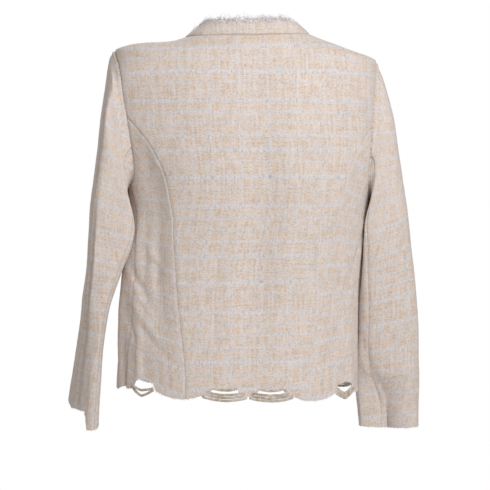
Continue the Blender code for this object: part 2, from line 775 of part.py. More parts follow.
def clear_of_body(side, point, clearance):
    """Moves a sleeve point outward until it clears the side of the body."""
    depth = torso_size(BACK if point.y >= 0.0 else FRONT, point.z)
    ratio = min(abs(point.y) / depth, 1.0)
    power = torso_size(SQUARENESS, point.z)
    reach = torso_size(HALF_WIDTH, point.z) * (1.0 - ratio**power) ** (1.0 / power)
    wall = side * torso_size(SHIFT, point.z) + reach + clearance
    if point.z > BODY_END and side * point.x < wall:
        point.x = side * wall
    return point


def sleeve_rings(hand):
    """Outer face of a sleeve: rings of points from the armhole to the cuff."""
    side, table = (1, SLEEVE_LEFT) if hand == "left" else (-1, SLEEVE_RIGHT)
    places = armhole_places()
    angles = sleeve_angles(places)
    armhole = [torso(side, p.x, p.y) for p in places]
    base = [section_point(side, table[0], angle) for angle in angles]
    rings = [armhole]
    for k, row in enumerate(table[1:], start=1):
        hold = ARMHOLE_HOLD[k] if k < len(ARMHOLE_HOLD) else 0.0
        near_cuff = smooth_step(1 - (len(table) - 1 - k) / CUFF_ROWS)
        ring = []
        for start, first, angle in zip(armhole, base, angles):
            point = section_point(side, row, angle) + hold * (start - first)
            centre = section_point(side, row, 0.0).lerp(section_point(side, row, 180.0), 0.5)
            inward = (centre - point).normalized()
            point += inward * crease_depth(hand, angle, point.z)
            point.z -= near_cuff * CUFF_TILT[hand] * math.sin(math.radians(angle))
            ring.append(clear_of_body(side, point, UNDERARM_CLEARANCE))
        rings.append(ring)
    return rings, places, angles


def sleeve_inward(side, rings, k, j):
    """Unit vector into the arm at a point of a sleeve's outer face."""
    count = len(rings[0]) - 1
    before, after = rings[k][(j - 1) % count], rings[k][(j + 1) % count]
    above, below = rings[max(k - 1, 0)][j], rings[min(k + 1, len(rings) - 1)][j]
    return side * (after - before).cross(below - above).normalized()


def armhole_ways(side, rings, places):
    """Ways into the wall round the armhole, of the body's edge and of the sleeve's.

    They share one where the walls meet at an open angle. Under the arm, where the sleeve
    folds down beside the body, each keeps its own and the sleeve starts just outside.
    """
    body, sleeve = [], []
    for j, p in enumerate(places):
        out = torso_normal(side, p.x, p.y)
        own = sleeve_inward(side, rings, 0, j)
        if own.dot(-out) > SHARPEST_MITRE:
            shared = mitre(-out, own)
            body.append(shared)
            sleeve.append(shared)
        else:
            body.append(-out)
            sleeve.append(own)
            rings[0][j] = rings[0][j] + out * FOLD_GAP
    return body, sleeve


def add_sleeve(hand):
    """Both pieces of a sleeve. Returns the ways into the wall of the body's armhole edge."""
    side = 1 if hand == "left" else -1
    rings, places, angles = sleeve_rings(hand)
    body_ways, sleeve_ways = armhole_ways(side, rings, places)
    count = len(places) - 1
    seam_behind = min(range(count), key=lambda j: abs(angles[j] - SLEEVE_SEAMS[0]))
    seam_before = min(range(count), key=lambda j: abs(angles[j] - SLEEVE_SEAMS[1]))
    under = list(range(seam_behind, seam_before + 1))
    top = list(range(seam_before, count)) + list(range(0, seam_behind + 1))
    for name, columns in (("sleeve_top_", top), ("sleeve_under_", under)):
        sheet = Sheet()
        index = []
        for k, ring in enumerate(rings):
            ways = sleeve_ways if k == 0 else [sleeve_inward(side, rings, k, j) for j in range(count)]
            index.append([sheet.add(ring[j], ways[j]) for j in columns])
        for upper, lower in zip(index, index[1:]):
            for i in range(len(columns) - 1):
                corners = (upper[i], upper[i + 1], lower[i + 1], lower[i])
                sheet.faces.append(corners[::-1] if side > 0 else corners)
        sheet.sew(index[0])
        sheet.sew([row[0] for row in index])
        sheet.sew([row[-1] for row in index])
        sheet.thicken(name + hand, "tweed")
    return body_ways


# ------------------------------------------------------------------- collar band
def collar_lean(p):
    turn = math.radians(p.x)
    end = COLLAR_LEAN["back"] if p.x <= 90.0 else COLLAR_LEAN["front"]
    return mix(end, COLLAR_LEAN["side"], math.sin(turn) ** 2)


def neck_places():
    """The whole neck line as (side, place), from the right front round the back."""
    front = neck_front(COLUMNS_FRONT)
    back = neck_back(COLUMNS_BACK // 2)
    right = [(-1, p) for p in front[::-1]] + [(-1, p) for p in back[1:]]
    left = [(1, p) for p in back[-2::-1]] + [(1, p) for p in front[1:]]
    return right + left


def collar_ring(height):
    """Points of the band's outer face at a height above the neck seam."""
    ring = []
    for side, p in neck_places():
        base = torso(side, p.x, p.y)
        flat = Vector((base.x, base.y, 0.0)).normalized()
        share = height / COLLAR_HEIGHT
        ring.append(base - flat * collar_lean(p) * share**COLLAR_CURVE + Vector((0.0, 0.0, height)))
    return ring


def ring_inward(ring, above, j):
    before, after = ring[max(j - 1, 0)], ring[min(j + 1, len(ring) - 1)]
    return (after - before).cross(above[j] - ring[j]).normalized()


def add_collar():
    """The band, and the way into the wall that it shares with the panels at the neck."""
    rings = [collar_ring(COLLAR_HEIGHT * k / COLLAR_ROWS) for k in range(COLLAR_ROWS + 1)]
    neck = neck_places()
    sheet = Sheet()
    index = []
    shared = []
    for k, ring in enumerate(rings):
        found = []
        for j, point in enumerate(ring):
            lower = min(k, COLLAR_ROWS - 1)
            way = ring_inward(rings[lower], rings[lower + 1], j)
            if k == 0:
                side, p = neck[j]
                way = mitre(way, -torso_normal(side, p.x, p.y))
                shared.append(way)
            found.append(sheet.add(point, way))
        index.append(found)
    for low, high in zip(index, index[1:]):
        for j in range(len(neck) - 1):
            sheet.faces.append((low[j], high[j], high[j + 1], low[j + 1]))
    sheet.sew(index[0])
    sheet.sew(index[-1])
    sheet.thicken("collar_band", "tweed")
    return shared


def add_fringe():
    """Frayed strip on the band's top edge: each strand grows from the strip's own top."""
    random.seed(FRINGE_SEED)
    low_ring, high_ring = collar_ring(COLLAR_HEIGHT), collar_ring(COLLAR_HEIGHT + FRINGE_STRIP)
    low = even(low_ring, FRINGE_STRANDS)
    high = even(high_ring, FRINGE_STRANDS)
    tops = even(collar_ring(COLLAR_HEIGHT + FRINGE_STRIP + FRINGE_LENGTH), FRINGE_STRANDS)
    sink = (CLOTH - FRINGE_THICKNESS) / 2
    points, faces = [], []
    for j in range(FRINGE_STRANDS + 1):
        inward = ring_inward(low, high, j)
        rise = (high[j] - low[j]).normalized() * SEAM_GAP
        for point in (low[j] + rise, high[j]):
            points.append(point + inward * sink)
            points.append(point + inward * (sink + FRINGE_THICKNESS))
    for j in range(FRINGE_STRANDS):
        a, b = 4 * j, 4 * j + 4
        faces.append((a, a + 2, b + 2, b))
        faces.append((a + 1, b + 1, b + 3, a + 3))
        faces.append((a, b, b + 1, a + 1))
        root = (points[a + 2] + points[a + 3] + points[b + 2] + points[b + 3]) / 4
        reach = (tops[j] + tops[j + 1]) / 2 - root
        stray = Vector([random.uniform(-FRINGE_STRAY, FRINGE_STRAY) for _ in range(3)])
        tip = root + reach * random.uniform(FRINGE_SHORTEST, 1.0) + stray
        points.append(tip)
        peak = 4 * (FRINGE_STRANDS + 1) + j
        for first, second in ((b + 2, a + 2), (b + 3, b + 2), (a + 3, b + 3), (a + 2, a + 3)):
            faces.append((first, second, peak))
    last = 4 * FRINGE_STRANDS
    faces.append((0, 1, 3, 2))
    faces.append((last, last + 2, last + 3, last + 1))
    make_object("collar_fringe", points, faces, "fray")


# ------------------------------------------------------------------- hem swags
def swag_line(start, end):
    """(reach, height) of the swag's one cord, which runs to and fro from the top row down."""
    line = []
    for k, (first, end_height, middle_height) in enumerate(SWAG_ROWS):
        row = []
        for step in range(SWAG_POINTS_PER_ROW):
            t = mix(first, 1.0 - first, step / (SWAG_POINTS_PER_ROW - 1))
            dip = 1.0 - ((t - 0.5) / (0.5 - first)) ** 2
            row.append((t, mix(end_height, middle_height, dip)))
        if k % 2:
            row.reverse()
        if line:
            above, below = line[-1], row[0]
            line.append((mix(above[0], below[0], 0.5), mix(above[1], below[1], TURN_DEPTH)))
        line += row
    return [(mix(start, end, t), height) for t, height in line]


def add_swag(name, side, start, end):
    """Closed tube along the swag's line, which stays in the thickness of the cloth."""
    places = [on_hem(reach, height) for reach, height in swag_line(start, end)]
    outs = [torso_normal(side, p.x, p.y) for p in places]
    centres = [torso(side, p.x, p.y) - out * (CLOTH / 2) for p, out in zip(places, outs)]
    points, faces = [], []
    for k, centre in enumerate(centres):
        forward = (centres[min(k + 1, len(centres) - 1)] - centres[max(k - 1, 0)]).normalized()
        across = forward.cross(outs[k]).normalized()
        out = across.cross(forward).normalized()
        for s in range(CORD_SIDES):
            turn = 2 * math.pi * s / CORD_SIDES
            points.append(centre + CORD_RADIUS * (math.cos(turn) * out + math.sin(turn) * across))
    for k in range(len(centres) - 1):
        for s in range(CORD_SIDES):
            a, b = k * CORD_SIDES + s, k * CORD_SIDES + (s + 1) % CORD_SIDES
            faces.append((a, b, b + CORD_SIDES, a + CORD_SIDES))
    last = (len(centres) - 1) * CORD_SIDES
    faces.append(tuple(reversed(range(CORD_SIDES))))
    faces.append(tuple(last + s for s in range(CORD_SIDES)))
    make_object(name, points, faces, "cord")


# ------------------------------------------------------------------- the jacket
def add_back_centre(collar_ways, sleeve_ways):
    reach = hem_reach(SEAMS["princess"][0].x)
    half = COLUMNS_BACK // 2
    reaches = hem_columns(0.0, reach, half)
    hem = [(r, -1) for r in reaches[::-1]] + [(r, 1) for r in reaches[1:]]
    border = SEAMS["princess"] + SEAMS["armhole_back"][1:] + SEAMS["shoulder"][1:]
    levels = centre_line(hem_level(0.0) + HEM_BAND, -NECK_DIP_BACK, border)
    middle = [place(0.0, level) for level in levels]
    band = [on_hem(r, HEM_BAND) for r in reaches]
    top = neck_back(half)[::-1]
    grid = coons(band, top, middle, border)
    columns = grid[:0:-1] + grid
    sides = [-1] * half + [1] * (half + 1)
    sheet, index = add_panel(columns, sides, ("left", "right"), hem)
    first = COLUMNS_FRONT
    set_edge(sheet, [column[-1] for column in index], collar_ways[first : first + COLUMNS_BACK + 1])
    for column, ways in ((index[0], sleeve_ways["right"]), (index[-1], sleeve_ways["left"])):
        rows = [column[ROWS_PRINCESS + k] for k in range(ROWS_ARMHOLE + 1)]
        set_edge(sheet, rows, ways[ROWS_ARMHOLE::-1])
    sheet.thicken("back_centre", "tweed")


def add_back_side(hand, sleeve_ways):
    side = 1 if hand == "left" else -1
    first, last = (hem_reach(SEAMS[name][0].x) for name in ("princess", "side"))
    reaches = hem_columns(first, last, COLUMNS_SIDE)
    hem = [(r, side) for r in reaches]
    grid = coons(band_line(hem), SEAMS["armhole_side"], SEAMS["princess"], SEAMS["side"])
    ways = sleeve_ways[hand][ROWS_ARMHOLE : ROWS_ARMHOLE + COLUMNS_SIDE + 1]
    if side < 0:
        grid, hem, ways = grid[::-1], hem[::-1], ways[::-1]
    sheet, index = add_panel(grid, [side] * len(grid), ("left", "right"), hem)
    set_edge(sheet, [column[-1] for column in index], ways)
    sheet.thicken("back_side_" + hand, "tweed")


def add_front(hand, collar_ways, sleeve_ways):
    side = 1 if hand == "left" else -1
    border = SEAMS["side"] + SEAMS["armhole_front"][1:] + SEAMS["shoulder"][1:]
    bottom_level = hem_level(180.0) + HEM_BAND
    levels = centre_line(bottom_level, NECK_FRONT[-1][1], border)
    edge = [place(front_edge_angle(level), level) for level in levels]
    edge[0] = band_place(edge[0].x)
    first, last = (hem_reach(p.x) for p in (SEAMS["side"][0], edge[0]))
    reaches = hem_columns(first, last, COLUMNS_FRONT)
    hem = [(r, side) for r in reaches]
    grid = coons(band_line(hem), neck_front(COLUMNS_FRONT), border, edge)
    neck = collar_ways[-1 : -COLUMNS_FRONT - 2 : -1] if side > 0 else collar_ways[: COLUMNS_FRONT + 1]
    neck = neck[::-1]
    seam = "left"
    if side < 0:
        grid, hem, neck, seam = grid[::-1], hem[::-1], neck[::-1], "right"
    sheet, index = add_panel(grid, [side] * len(grid), (seam,), hem)
    set_edge(sheet, [column[-1] for column in index], neck)
    column = index[0] if side > 0 else index[-1]
    start = ROWS_PRINCESS
    count = ROWS_ARMHOLE + COLUMNS_SIDE
    ways = sleeve_ways[hand][count:]
    set_edge(sheet, column[start : start + count + 1], ways)
    sheet.thicken("front_" + hand, "tweed")


def add_swags():
    number = 0
    for side in (1, -1):
        for start, end, is_open in scallops():
            if is_open:
                number += 1
                add_swag("hem_swag_" + str(number), side, start, end)


def main():
    for obj in list(bpy.data.objects):
        bpy.data.objects.remove(obj, do_unlink=True)
    collar_ways = add_collar()
    sleeve_ways = {hand: add_sleeve(hand) for hand in ("left", "right")}
    add_back_centre(collar_ways, sleeve_ways)
    for hand in ("left", "right"):
        add_back_side(hand, sleeve_ways)
        add_front(hand, collar_ways, sleeve_ways)
    add_fringe()
    add_swags()


main()
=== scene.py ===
"""Looks of a cropped tweed jacket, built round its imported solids.

The jacket is hollow and keeps the form of a body. Every cut piece is rebuilt here as a
thin sheet of cloth on the same surface as its solid, with its folds, seams and weave.
Metres, +Z up, the wearer faces -Y and the wearer's left is +X. The origin is the middle
of the neck at the collar seam.
"""

import math

import bpy
import numpy as np
from bpy.props import FloatProperty, FloatVectorProperty, IntProperty, PointerProperty
from mathutils import Matrix, Vector, noise


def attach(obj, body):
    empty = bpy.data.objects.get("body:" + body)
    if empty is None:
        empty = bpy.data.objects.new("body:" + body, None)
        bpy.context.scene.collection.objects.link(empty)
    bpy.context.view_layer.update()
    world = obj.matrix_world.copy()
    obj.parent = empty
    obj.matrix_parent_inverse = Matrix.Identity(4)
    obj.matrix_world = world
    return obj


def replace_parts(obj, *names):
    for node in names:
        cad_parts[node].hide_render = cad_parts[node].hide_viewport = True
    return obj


bl_info = {
    "name": "Cropped tweed jacket",
    "version": (1, 0, 0),
    "blender": (4, 5, 0),
    "location": "3D View > Sidebar > Jacket",
    "description": "Builds the cloth, frayed edges and hem cords of a cropped tweed jacket",
    "category": "Object",
}

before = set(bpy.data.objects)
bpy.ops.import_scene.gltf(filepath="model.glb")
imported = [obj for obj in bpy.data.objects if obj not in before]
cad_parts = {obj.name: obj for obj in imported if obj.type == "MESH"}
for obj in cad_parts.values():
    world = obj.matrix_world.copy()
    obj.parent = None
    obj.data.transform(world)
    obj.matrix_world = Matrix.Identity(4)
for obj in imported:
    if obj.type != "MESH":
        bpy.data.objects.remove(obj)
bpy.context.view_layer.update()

# ------------------------------------------------------------- sizes of the garment
# Sides of the body, as factors of X.
HANDS = {"left": 1, "right": -1}
NECK_HALF_WIDTH, NECK_DIP_BACK = 0.0973, 0.0045
NECK_LEAN, NECK_LEAN_DEPTH = 0.062, 0.08
# The padded shoulder blades push the back out, from one angle and level to another.
BLADE_LEFT, BLADE_RIGHT = 0.022, 0.005
BLADE_START, BLADE_SPREAD, BLADE_MOST = 28.0, 46.0, 1.15
BLADE_END, BLADE_END_SPAN = 81.0, 10.0
BLADE_TOP, BLADE_TOP_SPAN = -0.028, 0.055
BLADE_FOOT, BLADE_FOOT_SPAN = -0.13, 0.11
# The side back panels sink in between their seams, from some way below the armhole.
SIDE_HOLLOW = {"left": 0.0048, "right": 0.0016}
HOLLOW_START = 0.05
SHOULDER_TIP_LEVEL = -0.031
SHOULDER_ROUNDING = 0.03
FRONT_EDGE_GAP = 0.003
UNDERARM_CLEARANCE = 0.0035
COLLAR_HEIGHT = 0.019
COLLAR_LEAN = {"back": 0.009, "side": 0.023, "front": 0.007}
COLLAR_CURVE = 1.15
COLLAR_ROWS = 8
# Share of the cloth's relief on the collar, and a factor that widens the painted shade of its seam.
COLLAR_RELIEF, COLLAR_SEAM = 0.6, 0.5
FRINGE_STRIP, FRINGE_THICKNESS, FRINGE_INSET = 0.0052, 0.0011, 0.0004
FRINGE_WAVE, FRINGE_WAVE_LENGTH, FRINGE_WAVE_SEED = 0.0016, 0.005, 8
FRINGE_LAYERS = (
    # height on the strip, upward and outward share, spacing, share of the longest
    (-0.0066, 0.6, 0.45, 0.00064, 0.4),
    (-0.004, 0.7, 0.4, 0.00052, 0.5),
    (-0.0014, 0.85, 0.25, 0.00042, 0.6),
    (0.0014, 1.0, 0.0, 0.00038, 0.75),
    (0.003, 1.0, 0.05, 0.0015, 1.15),
)
# On the right the fringe is worn short from the shoulder part of the way to the back.
WORN_EDGE = ((0.0, 1.0), (32.0, 1.0), (37.0, 0.25), (80.0, 0.16), (100.0, 0.8), (180.0, 1.0))

# Loose threads: how unevenly they are tufted, long, leaning, rooted, bent and thick.
FRINGE_CURL, EDGE_CURL = 0.9, 0.5
TUFTS, TUFT_LENGTH = 0.45, 0.006
SHORTEST, LENGTH_POWER = 0.35, 1.4
LEAN_ALONG, LEAN_OUT = 0.7, 0.35
ROOT_DEPTHS, ROOT_TUCK = (0.0003, 0.0016), 0.0012
BEND_SPREAD, CURL_SHARE, LOOP_SHARE = 0.6, 0.3, 0.24
THICKNESS_SHARES, TAPER = (0.6, 1.25), 0.75
CURL_TURN, STRAND_SEGMENTS = 2.4 * math.pi, 6
STRAND_TURNS = np.radians((0.0, 120.0, 240.0))
STRAND_ASIDE = np.array((0.31, 0.17, 0.05))

# The hem line, and the scallops of one half of it from the centre back.
HEM_BACK, HEM_SIDE, HEM_FRONT = -0.551, -0.542, -0.547
HEM_BAND = 0.024
HEM_ROWS = 7
HEM_ANGLES, HEM_THREAD_STEPS = 720, 700
SCALLOP_ARC = 0.07
SCALLOP_KINDS = ("open", "plain", "side", "plain", "open")
SCALLOP_DROP = 0.0072
PLAIN_STEPS = 16

# Horizontal sections of the torso. "squareness" is the superellipse exponent.
TORSO = (
    # level, half_width, back, front, squareness, shift
    (0.0, 0.0973, 0.07, 0.05, 2.0, 0.0),
    (-0.008, 0.119, 0.077, 0.057, 2.0, 0.0),
    (-0.0165, 0.156, 0.084, 0.065, 2.05, 0.0),
    (-0.0245, 0.193, 0.09, 0.071, 2.1, 0.0),
    (-0.031, 0.205, 0.0935, 0.076, 2.15, 0.0),
    (-0.05, 0.2068, 0.1, 0.085, 2.2, 0.0),
    (-0.08, 0.206, 0.108, 0.1, 2.2, 0.0),
    (-0.12, 0.2045, 0.114, 0.118, 2.2, -0.001),
    (-0.16, 0.202, 0.117, 0.129, 2.25, -0.003),
    (-0.2, 0.197, 0.117, 0.134, 2.3, -0.006),
    (-0.24, 0.19, 0.115, 0.135, 2.3, -0.008),
    (-0.28, 0.186, 0.111, 0.132, 2.35, -0.008),
    (-0.33, 0.186, 0.106, 0.126, 2.4, -0.0035),
    (-0.4, 0.185, 0.1035, 0.121, 2.4, 0.0),
    (-0.47, 0.1862, 0.108, 0.12, 2.4, 0.0),
    (-0.57, 0.1895, 0.118, 0.123, 2.4, 0.0),
)
LEVEL, HALF_WIDTH, BACK, FRONT, SQUARENESS, SHIFT = range(6)

# The armhole as a loop seen from the side, from the shoulder tip down the back.
ARMHOLE = (
    # mark, toward_back, level
    ("tip", 0.0, SHOULDER_TIP_LEVEL), ("", 0.022, -0.048), ("", 0.034, -0.077),
    ("", 0.041, -0.107), ("princess", 0.047, -0.137), ("", 0.052, -0.168),
    ("", 0.053, -0.198), ("", 0.047, -0.222), ("side", 0.03, -0.239),
    ("", 0.008, -0.246), ("", -0.018, -0.244), ("", -0.042, -0.232),
    ("", -0.058, -0.206), ("", -0.062, -0.172), ("", -0.058, -0.136),
    ("", -0.049, -0.1), ("", -0.036, -0.066), ("", -0.019, -0.042),
)
PRINCESS = (
    # level, from_centre
    (-0.15, 0.18), (-0.17, 0.1645), (-0.195, 0.151), (-0.22, 0.1405), (-0.25, 0.1325),
    (-0.3, 0.123), (-0.36, 0.113), (-0.42, 0.1055), (-0.48, 0.0975), (-0.549, 0.093),
)
SIDE_SEAM = (
    # level, toward_back
    (-0.27, 0.04), (-0.33, 0.048), (-0.4, 0.05), (-0.47, 0.047), (-0.545, 0.04),
)
NECK_FRONT = (
    # from_centre, level
    (0.0973, 0.0), (0.095, -0.012), (0.0885, -0.026), (0.077, -0.042),
    (0.06, -0.058), (0.039, -0.071), (0.018, -0.0785), (0.0015, -0.081),
)

# Soft folds raised from or pressed into the torso surface: first the ones that the
# solids have, then the ones that the cloth alone has.
TORSO_FOLDS = (
    # side, angle, level, half_length, half_width, tilt, height
    (1, 62.0, -0.385, 0.05, 0.0085, 48.0, -0.003),
    (1, 55.0, -0.44, 0.055, 0.009, 52.0, 0.0028),
    (1, 78.0, -0.33, 0.045, 0.009, 25.0, 0.0035),
    (1, 74.0, -0.52, 0.06, 0.01, 8.0, -0.0055),
    (1, 58.0, -0.5, 0.055, 0.01, 6.0, 0.0035),
    (-1, 66.0, -0.33, 0.05, 0.009, 32.0, -0.0028),
    (-1, 60.0, -0.505, 0.06, 0.011, -6.0, 0.0032),
    (-1, 80.0, -0.48, 0.065, 0.01, -4.0, -0.004),
    (1, 112.0, -0.3, 0.06, 0.01, 20.0, -0.003),
    (-1, 114.0, -0.31, 0.06, 0.01, 24.0, -0.003),
    (1, 128.0, -0.48, 0.07, 0.011, 4.0, 0.003),
    (-1, 126.0, -0.49, 0.07, 0.011, -5.0, 0.003),
    (1, 50.0, -0.345, 0.04, 0.006, 55.0, 0.0016),
    (1, 58.0, -0.41, 0.046, 0.006, 50.0, 0.0018),
    (1, 66.0, -0.455, 0.04, 0.0065, 40.0, -0.002),
    (1, 46.0, -0.475, 0.05, 0.007, 58.0, -0.0014),
    (1, 40.0, -0.19, 0.06, 0.009, -38.0, -0.0014),
    (1, 52.0, -0.15, 0.05, 0.008, -30.0, 0.0012),
    (-1, 48.0, -0.18, 0.06, 0.009, -34.0, -0.0014),
    (-1, 55.0, -0.265, 0.045, 0.0075, -30.0, 0.0014),
    (-1, 58.0, -0.41, 0.05, 0.0075, 26.0, 0.0016),
    (-1, 44.0, -0.47, 0.06, 0.009, 20.0, -0.0015),
    (1, 12.0, -0.42, 0.09, 0.012, 3.0, -0.0012),
    (-1, 18.0, -0.38, 0.11, 0.014, -2.0, 0.0012),
    (-1, 8.0, -0.25, 0.08, 0.013, 4.0, -0.001),
    (1, 140.0, -0.26, 0.07, 0.012, -24.0, 0.0018),
    (-1, 144.0, -0.25, 0.075, 0.012, -20.0, -0.0018),
    (-1, 1.0, -0.3, 0.19, 0.018, 0.0, -0.0078),
    (1, -1.0, -0.3, 0.19, 0.018, 0.0, -0.0078),
    (1, 80.0, -0.44, 0.08, 0.018, 0.0, 0.008),
    (1, 46.0, -0.36, 0.07, 0.016, 10.0, -0.0045),
    (1, 57.0, -0.35, 0.06, 0.013, 8.0, -0.0034),
    (-1, 12.0, -0.29, 0.19, 0.013, 0.0, 0.002),
    (1, 106.0, -0.4, 0.07, 0.01, 5.0, 0.0022),
    (-1, 104.0, -0.42, 0.08, 0.01, -4.0, 0.0022),
)

# Sleeve sections from the armhole to the cuff. "out" is the outer side of the arm and
# "in" the side next to the body; the turns move the back's inner part and the front
# sideways, "corner" squares the outer back corner and "twist" pushes it out.
SLEEVES = {
    "left": (
        # out_x, out_level, in_x, in_level, middle_y, half_depth, turn, front_turn, squareness, corner, twist
        (0.205, -0.031, 0.1815, -0.246, -0.004, 0.058, 0.0, 0.0, 2.1, 1.0, 0.0),
        (0.212, -0.041, 0.1855, -0.253, -0.004, 0.06, 0.0, 0.001, 2.1, 1.0, 0.0),
        (0.216, -0.06, 0.188, -0.263, -0.003, 0.063, -0.002, 0.003, 2.4, 1.3, 0.001),
        (0.2195, -0.09, 0.188, -0.274, -0.002, 0.065, -0.004, 0.006, 2.7, 1.7, 0.003),
        (0.224, -0.127, 0.19, -0.287, -0.001, 0.065, -0.008, 0.01, 3.0, 2.0, 0.005),
        (0.2272, -0.171, 0.188, -0.301, 0.0, 0.064, -0.012, 0.013, 3.2, 2.0, 0.005),
        (0.2317, -0.219, 0.187, -0.318, 0.0, 0.063, -0.014, 0.014, 3.3, 2.0, 0.004),
        (0.2367, -0.269, 0.189, -0.34, 0.0, 0.062, -0.013, 0.013, 3.2, 2.0, 0.002),
        (0.2388, -0.32, 0.195, -0.367, -0.002, 0.061, -0.01, 0.009, 2.9, 2.0, 0.0),
        (0.2395, -0.366, 0.2, -0.396, -0.004, 0.06, -0.007, 0.0, 2.5, 1.9, -0.002),
        (0.243, -0.41, 0.207, -0.428, -0.008, 0.059, -0.005, -0.006, 2.2, 1.8, -0.005),
        (0.244, -0.45, 0.2105, -0.46, -0.012, 0.057, -0.004, -0.009, 2.1, 1.6, -0.008),
        (0.2475, -0.49, 0.2135, -0.494, -0.017, 0.055, -0.004, -0.009, 2.1, 1.4, -0.01),
        (0.2515, -0.528, 0.215, -0.53, -0.022, 0.053, -0.004, -0.009, 2.1, 1.2, -0.012),
        (0.255, -0.562, 0.216, -0.566, -0.027, 0.051, -0.004, -0.01, 2.1, 1.0, -0.013),
        (0.258, -0.594, 0.216, -0.6, -0.031, 0.05, -0.004, -0.011, 2.1, 1.0, -0.014),
    ),
    "right": (
        (0.205, -0.031, 0.1965, -0.246, -0.004, 0.058, 0.0, 0.0, 2.1, 1.0, 0.0),
        (0.2115, -0.041, 0.2, -0.253, -0.004, 0.06, 0.0, 0.001, 2.1, 1.0, 0.0),
        (0.218, -0.058, 0.201, -0.263, -0.003, 0.062, -0.002, 0.002, 2.3, 1.0, 0.0),
        (0.226, -0.088, 0.2005, -0.274, -0.002, 0.063, -0.005, 0.004, 2.6, 1.0, 0.0),
        (0.2348, -0.125, 0.199, -0.287, -0.001, 0.062, -0.009, 0.006, 2.8, 1.0, 0.0),
        (0.2414, -0.169, 0.1975, -0.301, 0.0, 0.06, -0.012, 0.007, 3.0, 1.0, 0.0),
        (0.2505, -0.217, 0.1965, -0.318, 0.0, 0.056, -0.013, 0.007, 3.0, 1.0, 0.0),
        (0.2604, -0.267, 0.196, -0.34, 0.0, 0.052, -0.012, 0.006, 3.0, 1.0, 0.0),
        (0.2686, -0.318, 0.195, -0.367, -0.004, 0.049, -0.011, 0.005, 3.0, 1.0, 0.0),
        (0.2771, -0.364, 0.194, -0.396, -0.008, 0.046, -0.009, 0.004, 3.0, 1.0, 0.0),
        (0.283, -0.408, 0.193, -0.428, -0.012, 0.042, -0.007, 0.003, 3.0, 1.0, 0.0),
        (0.2875, -0.448, 0.1915, -0.46, -0.016, 0.038, -0.005, 0.002, 3.0, 1.0, 0.002),
        (0.291, -0.488, 0.1905, -0.494, -0.02, 0.034, -0.004, 0.001, 2.9, 1.0, 0.005),
        (0.2945, -0.526, 0.1915, -0.53, -0.024, 0.031, -0.003, 0.0, 2.8, 1.0, 0.01),
        (0.2975, -0.568, 0.195, -0.572, -0.028, 0.028, -0.002, 0.0, 2.6, 1.0, 0.015),
        (0.2995, -0.606, 0.199, -0.61, -0.031, 0.027, -0.002, 0.0, 2.5, 1.0, 0.017),
    ),
}
OUT_X, OUT_LEVEL, IN_X, IN_LEVEL, MIDDLE_Y, HALF_DEPTH, TURN, FRONT_TURN, ROUNDNESS, CORNER, TWIST = range(11)
# How closely the first sections follow the armhole, the angles of the two seams, and the
# level down to which a sleeve has the body beside it.
ARMHOLE_HOLD = (1.0, 0.92, 0.74, 0.5, 0.28, 0.12, 0.03)
SLEEVE_SEAMS = (118.0, 236.0)
BODY_END = -0.58
# The back of a sleeve's cap sinks in a little below its seam.
CAP_HOLLOW = {"left": 0.004, "right": 0.0008}
CAP_HOLLOW_PLACE, CAP_HOLLOW_WIDTH = 0.034, 0.024
# Distance that eases off the groove and the painted shade of each armhole seam.
CAP_SEAM = {"left": 0.0005, "right": 0.0}
# The cuff hangs lower behind the arm, and the outer part of the left one is a step shorter.
CUFF_ROWS = 5
CUFF_TILT = {"left": 0.017, "right": 0.003}
CUFF_STEP = {"left": 0.028, "right": 0.0}
STEP_OUTSIDE = 0.4
STEP_END, STEP_END_SPAN = 81.0, 6.0
STEP_START, STEP_START_SPAN = 230.0, 70.0
# Seams of the right panels sink less and carry less painted shade below the arm, and those along some tops
# carry a wider band of painted shade.
RIGHT_SEAM_SHARE, RIGHT_SEAM_TOP, RIGHT_SEAM_SPAN = 0.5, -0.145, 0.02
TOP_SEAM = {"back_centre": 0.45, "front_left": 0.45, "front_right": 0.45, "back_side_right": 0.6}

# Creases along the sleeves; "lean" turns a crease round the arm from its top to its end.
SLEEVE_CREASES = {
    "left": (
        # angle, lean, half_angle, top_level, bottom_level, depth
        (50.0, 0.0, 12.0, -0.26, -0.66, 0.005),
        (228.0, 0.0, 16.0, -0.3, -0.44, 0.004),
        (300.0, 0.0, 18.0, -0.34, -0.62, 0.003),
        (66.0, -6.0, 8.0, -0.22, -0.5, -0.0022),
        (30.0, 40.0, 9.0, -0.29, -0.41, 0.0016),
        (96.0, -30.0, 9.0, -0.36, -0.5, 0.0014),
    ),
    "right": (
        (130.0, 0.0, 20.0, -0.5, -0.6, 0.006),
        (60.0, 0.0, 20.0, -0.3, -0.42, 0.003),
        (96.0, 0.0, 14.0, -0.57, -0.66, 0.0035),
        (250.0, 0.0, 18.0, -0.32, -0.5, 0.0035),
        (112.0, -50.0, 10.0, -0.46, -0.58, 0.003),
        (70.0, 30.0, 10.0, -0.12, -0.28, 0.0018),
        (50.0, -36.0, 9.0, -0.38, -0.52, 0.0016),
        (34.0, 20.0, 10.0, -0.5, -0.61, 0.0018),
        (106.0, 0.0, 60.0, -0.52, -0.7, 0.024),
    ),
}

SWAG_ROWS = (
    # start, end_height, middle_height
    (0.24, 0.0122, 0.0096), (0.112, 0.0062, 0.0028), (0.072, 0.0026, -0.0014), (0.03, -0.001, -0.0056),
)
SIDE_ROWS = {
    # side: (start, end, end_height, middle_height)
    1: ((0.075, 0.62, 0.004, -0.0006), (0.06, 0.64, 0.0022, -0.0088)),
    -1: (
        (0.1, 0.6, 0.0074, -0.002),
        (0.075, 0.62, 0.004, -0.0052),
        (0.06, 0.64, 0.0006, -0.0088),
    ),
}
SWAG_POINTS_PER_ROW, SWAG_CURVE_STEPS = 9, 6
CORD_SIDES, PLY_SPREAD, CORD_WOBBLE_LENGTH, CORD_SEEDS = 6, 0.85, 0.006, (11, 12, 13)
